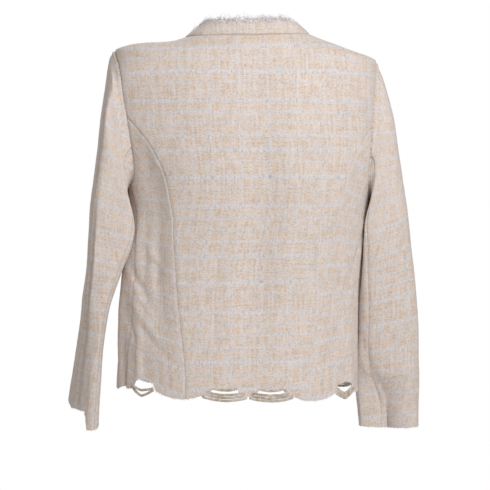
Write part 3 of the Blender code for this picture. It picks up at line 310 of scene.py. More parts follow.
# How deep a cord turns between its rows, and how its rows sag.
TURN_DEPTH = 0.6
OPEN_SAG, SIDE_SAG = 2.0, 1.35
OPEN_EDGE = (
    # along, height
    (0.0, 0.0005), (0.04, 0.001), (0.1, 0.0026), (0.165, 0.005), (0.205, 0.0078),
    (0.228, 0.0114), (0.262, 0.0136), (0.34, 0.0128), (0.5, 0.0114),
)
# The scallops beside the side seams open only in part, and their cords hang in a V.
SIDE_EDGE = (
    (0.0, 0.0005), (0.05, 0.0028), (0.085, 0.0092), (0.125, 0.0132), (0.35, 0.0152), (0.52, 0.014),
    (0.58, 0.01), (0.625, 0.0035), (0.69, -0.0012), (0.81, -0.003), (0.92, -0.0014),
)

# Rows and columns of the cloth: those of the solids, and how often each is split.
ROWS_PRINCESS, ROWS_ARMHOLE, ROWS_SHOULDER = 14, 5, 5
SHOULDER_ROWS_SPREAD = 0.07
COLUMNS_BACK, COLUMNS_SIDE, COLUMNS_FRONT = 14, 6, 9
ROW_SPLIT, COLUMN_SPLIT, SLEEVE_SPLIT, SLEEVE_ROW_SPLIT = 7, 6, 4, 9
CURVE_STEPS = 8
SMALL_ANGLE, SMALL_LEVEL = 0.4, 0.0008
LEVEL_STEPS = 400
TINY = 1e-12
SHARP_ANGLE = math.radians(60.0)
# Size of the lumps in the cloth, and how far one seed's noise lies from the next.
WAVE_LENGTH, CRINKLE_LENGTH = 0.055, 0.011
NOISE_STEPS = (3.7, 1.3, 5.1)

# How the weave lies on each piece: where a repeat's first bands lie, as a length across and
# one down the piece, a scale, and how much the bands rise outward at some levels.
WEAVE = {
    "back_centre": (0.0265, 0.263, 0.986, ((0.0, -0.035),)),
    "back_side_left": (0.0, 0.284, 1.079, ((-0.5, 0.34), (-0.35, 0.14), (-0.2, -0.05))),
    "back_side_right": (0.0, 0.2318, 0.98, ((-0.48, 0.2), (-0.33, -0.05), (-0.2, -0.2))),
    "front_left": (0.0, 0.24, 1.0, ((0.0, 0.0),)),
    "front_right": (0.0, 0.24, 1.0, ((0.0, 0.0),)),
    "sleeve_left": (0.0, 0.0103, 1.0, ((-0.53, 0.09), (-0.4, 0.02), (-0.27, 0.29), (-0.15, 0.54))),
    "sleeve_right": (0.0, 0.001, 1.03, ((-0.5, 0.06), (-0.36, 0.21), (-0.25, 0.41), (-0.15, -0.04))),
    "collar": (0.0, 0.012, 1.0, ((0.0, 0.0),)),
}
# The pale bands of one repeat: cross stripes, then lengthwise ones.
WEFT_BANDS = (
    # centre and half width in metres from the repeat's start, strength
    (0.0, 0.0034, 1.0), (0.0177, 0.0026, 0.85), (0.0338, 0.0026, 0.8), (0.052, 0.0026, 0.85),
    (0.0735, 0.0036, 1.05), (0.0908, 0.002, 0.72), (0.113, 0.0036, 1.1), (0.1285, 0.002, 0.72),
)
WARP_BANDS = (
    (0.0, 0.0028, 1.0), (0.01, 0.0018, 0.66), (0.019, 0.0018, 0.55), (0.029, 0.002, 0.72),
)


# ---------------------------------------------------------------- curves and tables
def read_table(table, key, value, at):
    """Value column at an array of keys, on a smooth curve that doesn't overshoot its rows."""
    rows = sorted(table, key=lambda row: row[key])
    keys = np.array([row[key] for row in rows])
    values = np.array([row[value] for row in rows])
    steps = np.diff(keys)
    slopes = np.diff(values) / steps
    before, after = slopes[:-1], slopes[1:]
    level = before * after <= 0.0
    inner = np.where(level, 0.0, 2.0 * before * after / np.where(level, 1.0, before + after))
    tangents = np.concatenate(([slopes[0]], inner, [slopes[-1]]))
    at = np.clip(at, keys[0], keys[-1])
    k = np.clip(np.searchsorted(keys, at, side="right") - 1, 0, len(steps) - 1)
    t = (at - keys[k]) / steps[k]
    rise = (2 * t**3 - 3 * t**2 + 1) * values[k] + (3 * t**2 - 2 * t**3) * values[k + 1]
    lean = (t**3 - 2 * t**2 + t) * tangents[k] + (t**3 - t**2) * tangents[k + 1]
    return rise + lean * steps[k]


def curve(corners, steps):
    """Catmull-Rom points from the second of the corners to the last but one."""
    corners = np.asarray(corners, float)
    t = (np.arange(steps) / steps)[None, :, None]
    a, b, c, d = (corners[k : len(corners) - 3 + k][:, None] for k in range(4))
    points = 2 * b + (c - a) * t + (2 * a - 5 * b + 4 * c - d) * t**2
    points = (points + (3 * b - a - 3 * c + d) * t**3) / 2
    return np.concatenate((points.reshape(-1, corners.shape[1]), corners[-2:-1]))


def open_curve(points, steps=CURVE_STEPS):
    points = np.asarray(points, float)
    return curve(np.vstack((2 * points[0] - points[1], points, 2 * points[-1] - points[-2])), steps)


def reaches_of(points, axis=0):
    """Length along lines of points up to each one."""
    gaps = np.linalg.norm(np.diff(points, axis=axis), axis=-1)
    start = np.zeros_like(np.take(gaps, [0], axis=axis))
    return np.concatenate((start, np.cumsum(gaps, axis=axis)), axis=axis)


def even(points, steps, reaches=None):
    """steps + 1 points on the line, evenly spaced by its own or by the given reaches."""
    reaches = reaches_of(points) if reaches is None else reaches
    goals = np.linspace(0.0, reaches[-1], steps + 1)
    return np.stack([np.interp(goals, reaches, column) for column in points.T], axis=-1)


def smooth_step(t):
    t = np.clip(t, 0.0, 1.0)
    return t * t * (3.0 - 2.0 * t)


def lean_neck(points):
    """Lifts the neck a little on the right and lowers it on the left, as the jacket hangs."""
    x, z = points[..., 0], points[..., 2]
    near = smooth_step(1.0 + z / NECK_LEAN_DEPTH)
    near = near * (1.0 - smooth_step((np.abs(x) - NECK_HALF_WIDTH) / NECK_LEAN_DEPTH))
    return points - np.stack((0 * x, 0 * x, NECK_LEAN * x * near), axis=-1)


def unit(vectors):
    return vectors / np.maximum(np.linalg.norm(vectors, axis=-1, keepdims=True), TINY)


def bell(values, width):
    return np.exp(-((values / width) ** 2))


def signed_power(values, power):
    return np.sign(values) * np.abs(values) ** power


def soft_noise(points, size, seed):
    """Smooth noise from -1 to 1 with lumps of about the given size, at an array of points."""
    offset = Vector([seed * step for step in NOISE_STEPS])
    flat = points.reshape(-1, 3) / size
    values = [noise.noise(Vector(p) + offset) for p in flat]
    return np.array(values).reshape(points.shape[:-1])


# ------------------------------------------------------------- the torso surface
# A place on the torso is (angle, level): the angle is 0 at the centre back, 90 at the
# widest point of the side and 180 at the centre front.
def torso_size(column, level):
    return read_table(TORSO, LEVEL, column, level)


def bare_torso(side, angle, level):
    turn = np.radians(angle)
    blend = SHOULDER_ROUNDING * np.cos(turn) ** 2
    size = torso_size(HALF_WIDTH, level) / 2
    size += (torso_size(HALF_WIDTH, level - blend) + torso_size(HALF_WIDTH, level + blend)) / 4
    depth = np.where(angle <= 90.0, torso_size(BACK, level), -torso_size(FRONT, level))
    power = 2.0 / torso_size(SQUARENESS, level)
    x = side * signed_power(np.sin(turn), power) * size + torso_size(SHIFT, level)
    y = depth * np.abs(np.cos(turn)) ** power
    return np.stack(np.broadcast_arrays(x, y, level), axis=-1)


def torso_normal(side, angle, level):
    level = np.minimum(level, -SMALL_LEVEL)
    across = bare_torso(side, angle + SMALL_ANGLE, level) - bare_torso(side, angle - SMALL_ANGLE, level)
    up = bare_torso(side, angle, level + SMALL_LEVEL) - bare_torso(side, angle, level - SMALL_LEVEL)
    return unit(np.cross(up, across)) * np.broadcast_to(side, level.shape)[..., None]


def fold_height(side, angle, level):
    height = np.zeros(level.shape)
    for fold_side, fold_angle, fold_level, half_length, half_width, tilt, depth in TORSO_FOLDS:
        across = np.radians(angle - fold_angle) * torso_size(HALF_WIDTH, fold_level)
        up = level - fold_level
        lean = math.radians(tilt)
        along = up * math.cos(lean) + across * math.sin(lean)
        away = across * math.cos(lean) - up * math.sin(lean)
        bump = depth * bell(along, half_length) * bell(away, half_width)
        height += np.where(side == fold_side, bump, 0.0)
    return height


def blade_height(side, angle, level):
    """How far the padded shoulder blades push the back out."""
    turned = np.clip((angle - BLADE_START) / BLADE_SPREAD, 0.0, BLADE_MOST) ** 2
    turned = turned * (1.0 - smooth_step((angle - BLADE_END) / BLADE_END_SPAN))
    near = smooth_step((BLADE_TOP - level) / BLADE_TOP_SPAN)
    near = near * (1.0 - smooth_step((BLADE_FOOT - level) / BLADE_FOOT_SPAN))
    return np.where(side > 0, BLADE_LEFT, BLADE_RIGHT) * turned * near


def torso(side, places):
    """Points of the torso surface at an array of places."""
    angle, level = places[..., 0], places[..., 1]
    side = np.broadcast_to(side, level.shape)
    out = torso_normal(side, angle, level)
    points = bare_torso(side, angle, level) + out * fold_height(side, angle, level)[..., None]
    points[..., 1] += blade_height(side, angle, level)
    return points


def outward(side, places):
    return torso_normal(np.broadcast_to(side, places.shape[:-1]), places[..., 0], places[..., 1])


def angle_from_depth(toward_back, level):
    depth = np.where(toward_back >= 0.0, torso_size(BACK, level), torso_size(FRONT, level))
    ratio = np.minimum(np.abs(toward_back) / depth, 1.0) ** (torso_size(SQUARENESS, level) / 2.0)
    return 90.0 - np.copysign(np.degrees(np.arcsin(ratio)), toward_back)


def angle_from_width(from_centre, level, at_back):
    ratio = np.minimum(from_centre / torso_size(HALF_WIDTH, level), 1.0)
    angle = np.degrees(np.arcsin(ratio ** (torso_size(SQUARENESS, level) / 2.0)))
    return angle if at_back else 180.0 - angle


# --------------------------------------------------------------- seams and edges
def even_on_torso(places, steps):
    return even(places, steps, reaches_of(torso(1, places)))


def fair(places, steps):
    return even_on_torso(open_curve(places), steps)


def armhole_arc(first, last, steps):
    """Places on the armhole from one mark to another, down the back and up the front."""
    marks = [row[0] for row in ARMHOLE] + ["tip"]
    loop = [row[1:] for row in (*ARMHOLE, ARMHOLE[0])]
    closed = np.array([loop[-2], *loop, loop[1]])
    start = marks.index(first)
    stop = len(marks) - 1 - marks[::-1].index(last)
    line = curve(closed[start : stop + 3], CURVE_STEPS)
    return even_on_torso(np.stack((angle_from_depth(*line.T), line[:, 1]), axis=-1), steps)


def hem_level(angle):
    side = np.sin(np.radians(angle)) ** 2
    middle = np.where(angle <= 90.0, HEM_BACK, HEM_FRONT)
    return middle + (HEM_SIDE - middle) * side


HEM_LINE_ANGLES = np.linspace(0.0, 180.0, HEM_ANGLES + 1)
HEM_LINE = torso(1, np.stack((HEM_LINE_ANGLES, hem_level(HEM_LINE_ANGLES)), axis=-1))
HEM_REACH = reaches_of(HEM_LINE)


def hem_reach(angle):
    return float(np.interp(angle, HEM_LINE_ANGLES, HEM_REACH))


def scallops():
    """(start, end, kind) of each scallop of one half of the hem, from the centre back."""
    found = [(k * SCALLOP_ARC, (k + 1) * SCALLOP_ARC, kind) for k, kind in enumerate(SCALLOP_KINDS)]
    start = len(SCALLOP_KINDS) * SCALLOP_ARC
    middle = (start + HEM_REACH[-1]) / 2
    return [*found, (start, middle, "plain"), (middle, HEM_REACH[-1], "plain")]


def hem_edge():
    """(reach, height above the hem line) of the cloth's edge, from back to front."""
    points = []
    foot = OPEN_EDGE[0][1]
    for start, end, kind in scallops():
        if kind == "side":
            profile = [*SIDE_EDGE, (1.0, foot)]
        elif kind == "open":
            profile = [*OPEN_EDGE, *((1.0 - along, height) for along, height in OPEN_EDGE[-2::-1])]
        else:
            steps = np.linspace(0.0, 1.0, PLAIN_STEPS + 1)
            profile = [(t, foot - (SCALLOP_DROP + foot) * 4 * t * (1 - t)) for t in steps]
        points += [(start + (end - start) * t, height) for t, height in profile[:-1]]
    return np.array([*points, (HEM_REACH[-1], foot)])


HEM_EDGE = hem_edge()


def on_hem(reach, height):
    """Places at a reach along the hem and a height above its line."""
    angle = np.interp(reach, HEM_REACH, HEM_LINE_ANGLES)
    return np.stack((angle, hem_level(angle) + height), axis=-1)


def band_place(angle):
    return angle, hem_level(angle) + HEM_BAND


def seam_lines():
    """Border lines of the panels on one side, as arrays of places."""
    princess = [armhole_arc("tip", "princess", 1)[-1]]
    for level, from_centre in PRINCESS[:-1]:
        princess.append((angle_from_width(from_centre, level, True), level))
    princess.append(band_place(angle_from_width(PRINCESS[-1][1], HEM_BACK + HEM_BAND, True)))
    side = [armhole_arc("princess", "side", 1)[-1]]
    for level, toward_back in SIDE_SEAM[:-1]:
        side.append((angle_from_depth(toward_back, level), level))
    side.append(band_place(angle_from_depth(SIDE_SEAM[-1][1], HEM_SIDE + HEM_BAND)))
    levels = np.linspace(0.0, SHOULDER_TIP_LEVEL, LEVEL_STEPS)
    tip_width = torso_size(HALF_WIDTH, SHOULDER_TIP_LEVEL)
    widths = np.linspace(tip_width, NECK_HALF_WIDTH, ROWS_SHOULDER * ROW_SPLIT + 1)
    shoulder = np.interp(widths, torso_size(HALF_WIDTH, levels), levels)
    return {
        "princess": fair(princess[::-1], ROWS_PRINCESS * ROW_SPLIT),
        "side": fair(side[::-1], ROWS_PRINCESS * ROW_SPLIT),
        "armhole_back": armhole_arc("tip", "princess", ROWS_ARMHOLE * ROW_SPLIT)[::-1],
        "armhole_side": armhole_arc("princess", "side", COLUMNS_SIDE * COLUMN_SPLIT),
        "armhole_front": armhole_arc("side", "tip", (ROWS_ARMHOLE + COLUMNS_SIDE) * ROW_SPLIT),
        "shoulder": np.stack((np.full(len(shoulder), 90.0), shoulder), axis=-1),
    }


SEAMS = seam_lines()


def neck_back(steps):
    angle = np.linspace(90.0, 0.0, steps + 1)
    return np.stack((angle, -NECK_DIP_BACK * np.cos(np.radians(angle)) ** 2), axis=-1)


def neck_front(steps):
    line = open_curve(NECK_FRONT)
    return even_on_torso(np.stack((angle_from_width(*line.T, False), line[:, 1]), axis=-1), steps)


def centre_levels(low, high, border):
    """Levels of a centre line's places, one for each of a border's."""
    tip_row = len(border) - 1 - ROWS_SHOULDER * ROW_SPLIT
    fan = high - SHOULDER_ROWS_SPREAD
    reaches = reaches_of(torso(1, border))
    lower = low + (fan - low) * reaches[: tip_row + 1] / reaches[tip_row]
    upper = np.linspace(fan, high, ROWS_SHOULDER * ROW_SPLIT + 1)[1:]
    return np.concatenate((lower, upper))


def coons(bottom, top, left, right):
    """Array of places between four border lines, by column and row."""
    u = np.linspace(0.0, 1.0, len(bottom))[:, None, None]
    v = np.linspace(0.0, 1.0, len(left))[None, :, None]
    lines = bottom[:, None] * (1 - v) + top[:, None] * v + left[None] * (1 - u) + right[None] * u
    corners = (bottom[0] * (1 - v) + top[0] * v) * (1 - u) + (bottom[-1] * (1 - v) + top[-1] * v) * u
    return lines - corners


def with_hem(reaches, grid):
    """The grid with the scalloped strip added below its first row."""
    edge = np.interp(reaches, *HEM_EDGE.T)
    shares = np.arange(HEM_ROWS) / HEM_ROWS
    heights = edge[:, None] + (HEM_BAND - edge[:, None]) * shares
    strip = on_hem(np.broadcast_to(reaches[:, None], heights.shape), heights)
    return np.concatenate((strip, grid), axis=1)


# --------------------------------------------------------------------- cloth sheets
def grid_normals(points, away):
    """Unit normals of a grid of points, on the side that the ways away point to."""
    normals = unit(np.cross(np.gradient(points, axis=0), np.gradient(points, axis=1)))
    return normals * np.sign(np.sum(normals * away, axis=-1).mean())


def relief(points, cloth):
    """Height of the cloth's own unevenness over the smooth surface."""
    waves = soft_noise(points, WAVE_LENGTH, 1) * cloth.wave_height
    crinkle = soft_noise(points, CRINKLE_LENGTH, 2) + 0.5 * soft_noise(points, CRINKLE_LENGTH / 2, 3)
    return waves + crinkle * cloth.crinkle_height


def seam_groove(reaches, cloth):
    """Depth of the groove beside a seam, at a distance from it."""
    return cloth.seam_depth * bell(reaches, cloth.seam_width)


def add_object(name, data):
    thing = bpy.data.objects.new(name, data)
    bpy.context.scene.collection.objects.link(thing)
    return thing


def make_piece(name, points, faces, material, weave=None):
    """Object of a mesh that rides on the jacket."""
    mesh = bpy.data.meshes.new(name)
    mesh.from_pydata(points.tolist(), [], faces)
    if weave is not None:
        attribute = mesh.attributes.new("weave", "FLOAT_VECTOR", "POINT")
        attribute.data.foreach_set("vector", np.ascontiguousarray(weave, np.float32).ravel())
    mesh.update()
    mesh.shade_smooth()
    mesh.set_sharp_from_angle(angle=SHARP_ANGLE)
    mesh.materials.append(bpy.data.materials[material])
    piece = add_object(name, mesh)
    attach(piece, "root")
    return piece


def closed_sheet(points, inner):
    """Points and faces of a closed sheet between two grids of points."""
    columns, rows = points.shape[:2]
    count = columns * rows
    index = np.arange(count).reshape(columns, rows)
    corners = index[:-1, :-1], index[1:, :-1], index[1:, 1:], index[:-1, 1:]
    faces = np.stack(corners, axis=-1).reshape(-1, 4)
    loop = np.concatenate((index[:-1, 0], index[-1, :-1], index[:0:-1, -1], index[0, :0:-1]))
    after = np.roll(loop, -1)
    rim = np.stack((loop, loop + count, after + count, after), axis=-1)
    both = np.concatenate((points.reshape(-1, 3), inner.reshape(-1, 3)))
    return both, np.concatenate((faces, faces[:, ::-1] + count, rim))


def add_sheet(node, points, out, weave, cloth):
    """Thin sheet of cloth on a grid of points whose outer side faces out."""
    both, faces = closed_sheet(points, points - out * cloth.thickness)
    first = points[1, 0] - points[0, 0], points[0, 1] - points[0, 0]
    if np.dot(np.cross(*first), out[0, 0]) < 0.0:
        faces = faces[:, ::-1]
    coordinates = np.concatenate((weave.reshape(-1, 3),) * 2)
    piece = make_piece(node + "_cloth", both, faces.tolist(), "woven tweed", coordinates)
    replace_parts(piece, node)


def weave_of(piece, across, down, seam, level, outward_by=None):
    """Place in the weave of each point: across it, along it, and its distance from a seam."""
    warp_start, weft_start, scale, rises = WEAVE[piece]
    rise = np.interp(level, *np.array(rises).T)
    along = down * scale + rise * (across if outward_by is None else outward_by) - weft_start
    return np.stack(np.broadcast_arrays(across - warp_start, along, seam), axis=-1)


def add_panel(name, side, places, column, cloth, sewn=("first", "last", "top"), hollow=0.0):
    """Sheet of a body panel, woven from a column on; sewn names the borders with a seam."""
    points = torso(side, places)
    out = outward(side, places)
    points = points + out * relief(points, cloth)[..., None]
    across, up = reaches_of(points, axis=0), reaches_of(points, axis=1)
    distances = {"first": across, "last": across[-1:] - across, "top": up[:, -1:] - up}
    seam = np.minimum.reduce([distances[border] for border in sewn])
    sunk = hollow * np.sin(math.pi * across / across[-1:]) * smooth_step(distances["top"] / HOLLOW_START)
    level = places[..., 1]
    below_arm = smooth_step((RIGHT_SEAM_TOP - level) / RIGHT_SEAM_SPAN)
    pressed = 1.0 - (1.0 - RIGHT_SEAM_SHARE) * np.where(side < 0, below_arm, 0.0)
    points = lean_neck(points - out * (pressed * seam_groove(seam, cloth) + sunk)[..., None])
    seam = seam + cloth.seam_soft / pressed
    if name in TOP_SEAM:
        seam = np.minimum(seam, distances["top"] * TOP_SEAM[name])
    away = across[-1:] - across if column < 0 else across - across[column]
    add_sheet(name, points, out, weave_of(name, away, -level, seam, level), cloth)


def add_back_centre(cloth):
    half = COLUMNS_BACK // 2 * COLUMN_SPLIT
    reaches = np.linspace(0.0, hem_reach(SEAMS["princess"][0, 0]), half + 1)
    border = np.vstack((SEAMS["princess"], SEAMS["armhole_back"][1:], SEAMS["shoulder"][1:]))
    levels = centre_levels(HEM_BACK + HEM_BAND, -NECK_DIP_BACK, border)
    middle = np.stack((np.zeros(len(levels)), levels), axis=-1)
    grid = with_hem(reaches, coons(on_hem(reaches, HEM_BAND), neck_back(half)[::-1], middle, border))
    places = np.concatenate((grid[:0:-1], grid))
    side = np.concatenate((-np.ones(half), np.ones(half + 1)))[:, None]
    add_panel("back_centre", side, places, half, cloth)


def add_back_side(hand, cloth):
    first, last = (hem_reach(SEAMS[name][0, 0]) for name in ("princess", "side"))
    reaches = np.linspace(first, last, COLUMNS_SIDE * COLUMN_SPLIT + 1)
    band = on_hem(reaches, HEM_BAND)
    places = with_hem(reaches, coons(band, SEAMS["armhole_side"], SEAMS["princess"], SEAMS["side"]))
    add_panel("back_side_" + hand, HANDS[hand], places, 0, cloth, hollow=SIDE_HOLLOW[hand])


def add_front(hand, cloth):
    border = np.vstack((SEAMS["side"], SEAMS["armhole_front"][1:], SEAMS["shoulder"][1:]))
    levels = centre_levels(HEM_FRONT + HEM_BAND, NECK_FRONT[-1][1], border)
    edge = np.stack((angle_from_width(FRONT_EDGE_GAP / 2, levels, False), levels), axis=-1)
    edge[0] = band_place(float(edge[0, 0]))
    first, last = hem_reach(SEAMS["side"][0, 0]), hem_reach(edge[0, 0])
    reaches = np.linspace(first, last, COLUMNS_FRONT * COLUMN_SPLIT + 1)
    top = neck_front(COLUMNS_FRONT * COLUMN_SPLIT)
    places = with_hem(reaches, coons(on_hem(reaches, HEM_BAND), top, border, edge))
    add_panel("front_" + hand, HANDS[hand], places, -1, cloth, sewn=("first", "top"))


# ------------------------------------------------------------------------ sleeves
def armhole_places():
    """The whole armhole as the sleeve meets it: tip, down the back, up the front."""
    down = armhole_arc("tip", "princess", ROWS_ARMHOLE * SLEEVE_SPLIT)
    under = armhole_arc("princess", "side", COLUMNS_SIDE * SLEEVE_SPLIT)
    up = armhole_arc("side", "tip", (ROWS_ARMHOLE + COLUMNS_SIDE) * SLEEVE_SPLIT)
    return np.vstack((down, under[1:], up[1:]))


def sleeve_angles(places):
    """Angle round the arm of each armhole place: 0 outside, 90 behind, 180 next to the body."""
    lowest = int(np.argmin(places[:, 1]))
    reaches = reaches_of(torso(1, places))
    half = reaches[lowest]
    beyond = 180.0 + 180.0 * (reaches - half) / (reaches[-1] - half)
    return np.where(reaches <= half, 180.0 * reaches / half, beyond)


def section_points(side, rows, angles):
    """Points of the arm's sections, by row and angle."""
    turn = np.radians(angles)[None]
    rows = rows[:, :, None]
    c, s = np.cos(turn), np.sin(turn)
    power = 2.0 / (rows[:, ROUNDNESS] * np.where((c > 0.0) & (s > 0.0), rows[:, CORNER], 1.0))
    c, s = signed_power(c, power), signed_power(s, power)
    x, z = (
        (rows[:, outer] + rows[:, inner]) / 2 + c * (rows[:, outer] - rows[:, inner]) / 2
        for outer, inner in ((OUT_X, IN_X), (OUT_LEVEL, IN_LEVEL))
    )
    x = x + s * np.where(s > 0.0, (1.0 - c) * rows[:, TURN], rows[:, FRONT_TURN])
    y = rows[:, MIDDLE_Y] + s * rows[:, HALF_DEPTH] + c * np.maximum(s, 0.0) * rows[:, TWIST]
    return np.stack((side * x, y, z), axis=-1)


def crease_depth(hand, angles, levels):
    depth = np.zeros(levels.shape)
    for at, lean, half_angle, top, bottom, deepest in SLEEVE_CREASES[hand]:
        middle, half = (top + bottom) / 2, (top - bottom) / 2
        place = at - lean * (levels - middle) / (2 * half)
        away = (angles[None] - place + 180.0) % 360.0 - 180.0
        run = np.maximum(0.0, 1.0 - ((levels - middle) / half) ** 2)
        depth += deepest * run * bell(away, half_angle)
    return depth


def clear_of_body(side, points):
    """Moves sleeve points outward until they clear the side of the body."""
    x, y, z = np.moveaxis(points, -1, 0)
    depth = np.where(y >= 0.0, torso_size(BACK, z), torso_size(FRONT, z))
    power = torso_size(SQUARENESS, z)
    bulge = (1.0 - np.minimum(np.abs(y) / depth, 1.0) ** power) ** (1.0 / power)
    wall = side * torso_size(SHIFT, z) + torso_size(HALF_WIDTH, z) * bulge + UNDERARM_CLEARANCE
    beside = (z > BODY_END) & (side * x < wall)
    return np.stack((np.where(beside, side * wall, x), y, z), axis=-1)


def sleeve_rings(hand):
    """Outer face of a sleeve: rings of points from the armhole to the cuff."""
    side = HANDS[hand]
    places = armhole_places()
    angles = sleeve_angles(places)
    table = np.array(SLEEVES[hand])
    hold = np.zeros(len(table))
    hold[: len(ARMHOLE_HOLD)] = ARMHOLE_HOLD
    rows = open_curve(table, SLEEVE_ROW_SPLIT)
    hold = np.interp(np.linspace(0, len(table) - 1, len(rows)), np.arange(len(table)), hold)
    armhole = torso(side, places)
    base = section_points(side, table[:1], angles)[0]
    rings = section_points(side, rows, angles) + hold[:, None, None] * (armhole - base)
    ends = section_points(side, rows, np.array([0.0, 180.0]))
    inward = unit(ends.mean(axis=1)[:, None] - rings)
    rings = rings + inward * crease_depth(hand, angles, rings[..., 2])[..., None]
    last = len(table) - 1
    near_cuff = smooth_step(1 - (last - np.linspace(0, last, len(rows))) / CUFF_ROWS)
    behind = np.sin(np.radians(angles))
    rings[..., 2] -= near_cuff[:, None] * CUFF_TILT[hand] * behind
    step = STEP_OUTSIDE + (1.0 - STEP_OUTSIDE) * behind
    step = step * (1.0 - smooth_step((angles - STEP_END) / STEP_END_SPAN))
    before = STEP_OUTSIDE * smooth_step((angles - STEP_START) / STEP_START_SPAN)
    rings[..., 2] += near_cuff[:, None] * CUFF_STEP[hand] * np.where(angles < 180.0, step, before)
    rings = clear_of_body(side, rings)
    rings[0] = armhole
    return rings, places, angles


def sleeve_columns(angles, top):
    """Columns of the top or under piece, and that of its middle line."""
    count = len(angles) - 1
    behind, before = (int(np.argmin(np.abs(angles[:-1] - seam))) for seam in SLEEVE_SEAMS)
    if top:
        return np.r_[before:count, 0 : behind + 1], count - before
    return np.arange(behind, before + 1), (before - behind) // 2


def add_sleeve(hand, cloth):
    side = HANDS[hand]
    rings, places, angles = sleeve_rings(hand)
    looped = np.concatenate((rings[:, -2:-1], rings, rings[:, 1:2]), axis=1)
    out = grid_normals(looped, looped - rings.mean(axis=1, keepdims=True))[:, 1:-1]
    rings = rings + out * relief(rings, cloth)[..., None]
    rings[:, -1] = rings[:, 0]
    tuck = torso(side, places) - outward(side, places) * cloth.tuck
    tip, cuff = rings[0, 0], rings[-1].mean(axis=0)
    arm = unit(cuff - tip)
    down = (rings - tip) @ arm
    beyond = side * (rings[..., 0] - tip[0])
    top_seam = reaches_of(rings, axis=0)
    for kind, top in (("sleeve_top_", True), ("sleeve_under_", False)):
        columns, middle = sleeve_columns(angles, top)
        points, ways = rings[:, columns], out[:, columns]
        reaches = reaches_of(points, axis=1)
        from_top = top_seam[:, columns]
        seam = np.minimum.reduce([reaches, reaches[:, -1:] - reaches, from_top + CAP_SEAM[hand]])
        beside = bell(from_top - CAP_HOLLOW_PLACE, CAP_HOLLOW_WIDTH)
        behind = np.maximum(np.sin(np.radians(angles[columns])), 0.0)
        sunk = seam_groove(seam, cloth) + CAP_HOLLOW[hand] * beside * behind
        points = points - ways * sunk[..., None]
        across = reaches - reaches[:, middle : middle + 1]
        seam = seam + cloth.seam_soft
        level = points[..., 2]
        weave = weave_of("sleeve_" + hand, across, down[:, columns], seam, level, beyond[:, columns])
        points[0] = tuck[columns]
        add_sheet(kind + hand, points, ways, weave, cloth)


# ------------------------------------------------------------------- collar band
def neck_line():
    """The whole neck line as (sides, places), from the right front round the back."""
    front = neck_front(COLUMNS_FRONT * COLUMN_SPLIT)
    back = neck_back(COLUMNS_BACK // 2 * COLUMN_SPLIT)
    places = np.vstack((front[::-1], back[1:], back[-2::-1], front[1:]))
    half = len(places) // 2
    return np.concatenate((-np.ones(half), np.ones(len(places) - half))), places


def collar_points(heights):
    """Points of the band's outer face, by place round the neck and by height."""
    sides, places = neck_line()
    base = torso(sides, places)
    flat = base * (1.0, 1.0, 0.0)
    end = np.where(places[:, 0] <= 90.0, COLLAR_LEAN["back"], COLLAR_LEAN["front"])
    lean = end + (COLLAR_LEAN["side"] - end) * np.sin(np.radians(places[:, 0])) ** 2
    share = np.maximum(heights / COLLAR_HEIGHT, 0.0) ** COLLAR_CURVE
    moved = base[:, None] - (unit(flat) * lean[:, None])[:, None] * share[None, :, None]
    return moved + heights[None, :, None] * np.array((0.0, 0.0, 1.0))


def add_collar(cloth):
    heights = np.linspace(-cloth.tuck, COLLAR_HEIGHT, COLLAR_ROWS + 1)
    points = collar_points(heights)
    sides, places = neck_line()
    out = grid_normals(points, points * (1.0, 1.0, 0.0))
    points = points + out * relief(points, cloth)[..., None] * COLLAR_RELIEF
    points[:, 0] -= outward(sides, places) * cloth.tuck
    points = lean_neck(points)
    up = reaches_of(points, axis=1)
    across = reaches_of(points, axis=0)
    across = across - across[len(across) // 2]
    seam = np.abs(up - cloth.tuck) * COLLAR_SEAM
    add_sheet("collar_band", points, out, weave_of("collar", across, -up, seam, up), cloth)


# ----------------------------------------------------------------- frayed edges
def circles(first, second, turns):
    """Unit circles in the planes of two ways, by place and turn."""
    return first[:, None] * np.cos(turns)[:, None] + second[:, None] * np.sin(turns)[:, None]


def tube_faces(rings, sides):
    """Faces round a tube, whose points go ring after ring."""
    faces = []
    for start in range(0, (rings - 1) * sides, sides):
        for s in range(sides):
            a, b = start + s, start + (s + 1) % sides
            faces.append((a, b, b + sides, a + sides))
    return faces


def strands(roots, ways, bends, curls, loops, radius):
    """Points and faces of tapering three-sided strands that bend and curl from their roots."""
    side = unit(np.cross(ways, bends + STRAND_ASIDE))
    t = np.linspace(0.0, 1.0, STRAND_SEGMENTS + 1)[None, :, None]
    path = roots[:, None] + ways[:, None] * t + bends[:, None] * t**2
    path = path + curls[:, None] * np.sin(CURL_TURN * t) + loops[:, None] * (1.0 - np.cos(CURL_TURN * t))
    rings = circles(side, unit(np.cross(ways, side)), STRAND_TURNS)
    width = radius[:, None, None] * (1.0 - TAPER * t)
    points = path[:, :, None] + rings[:, None] * width[..., None]
    size = 3 * (STRAND_SEGMENTS + 1)
    starts = range(0, size * len(roots), size)
    ends = [(2, 1, 0), (size - 3, size - 2, size - 1)]
    parts = (tube_faces(STRAND_SEGMENTS + 1, 3), ends)
    faces = [tuple(i + start for i in face) for part in parts for start in starts for face in part]
    return points.reshape(-1, 3), faces


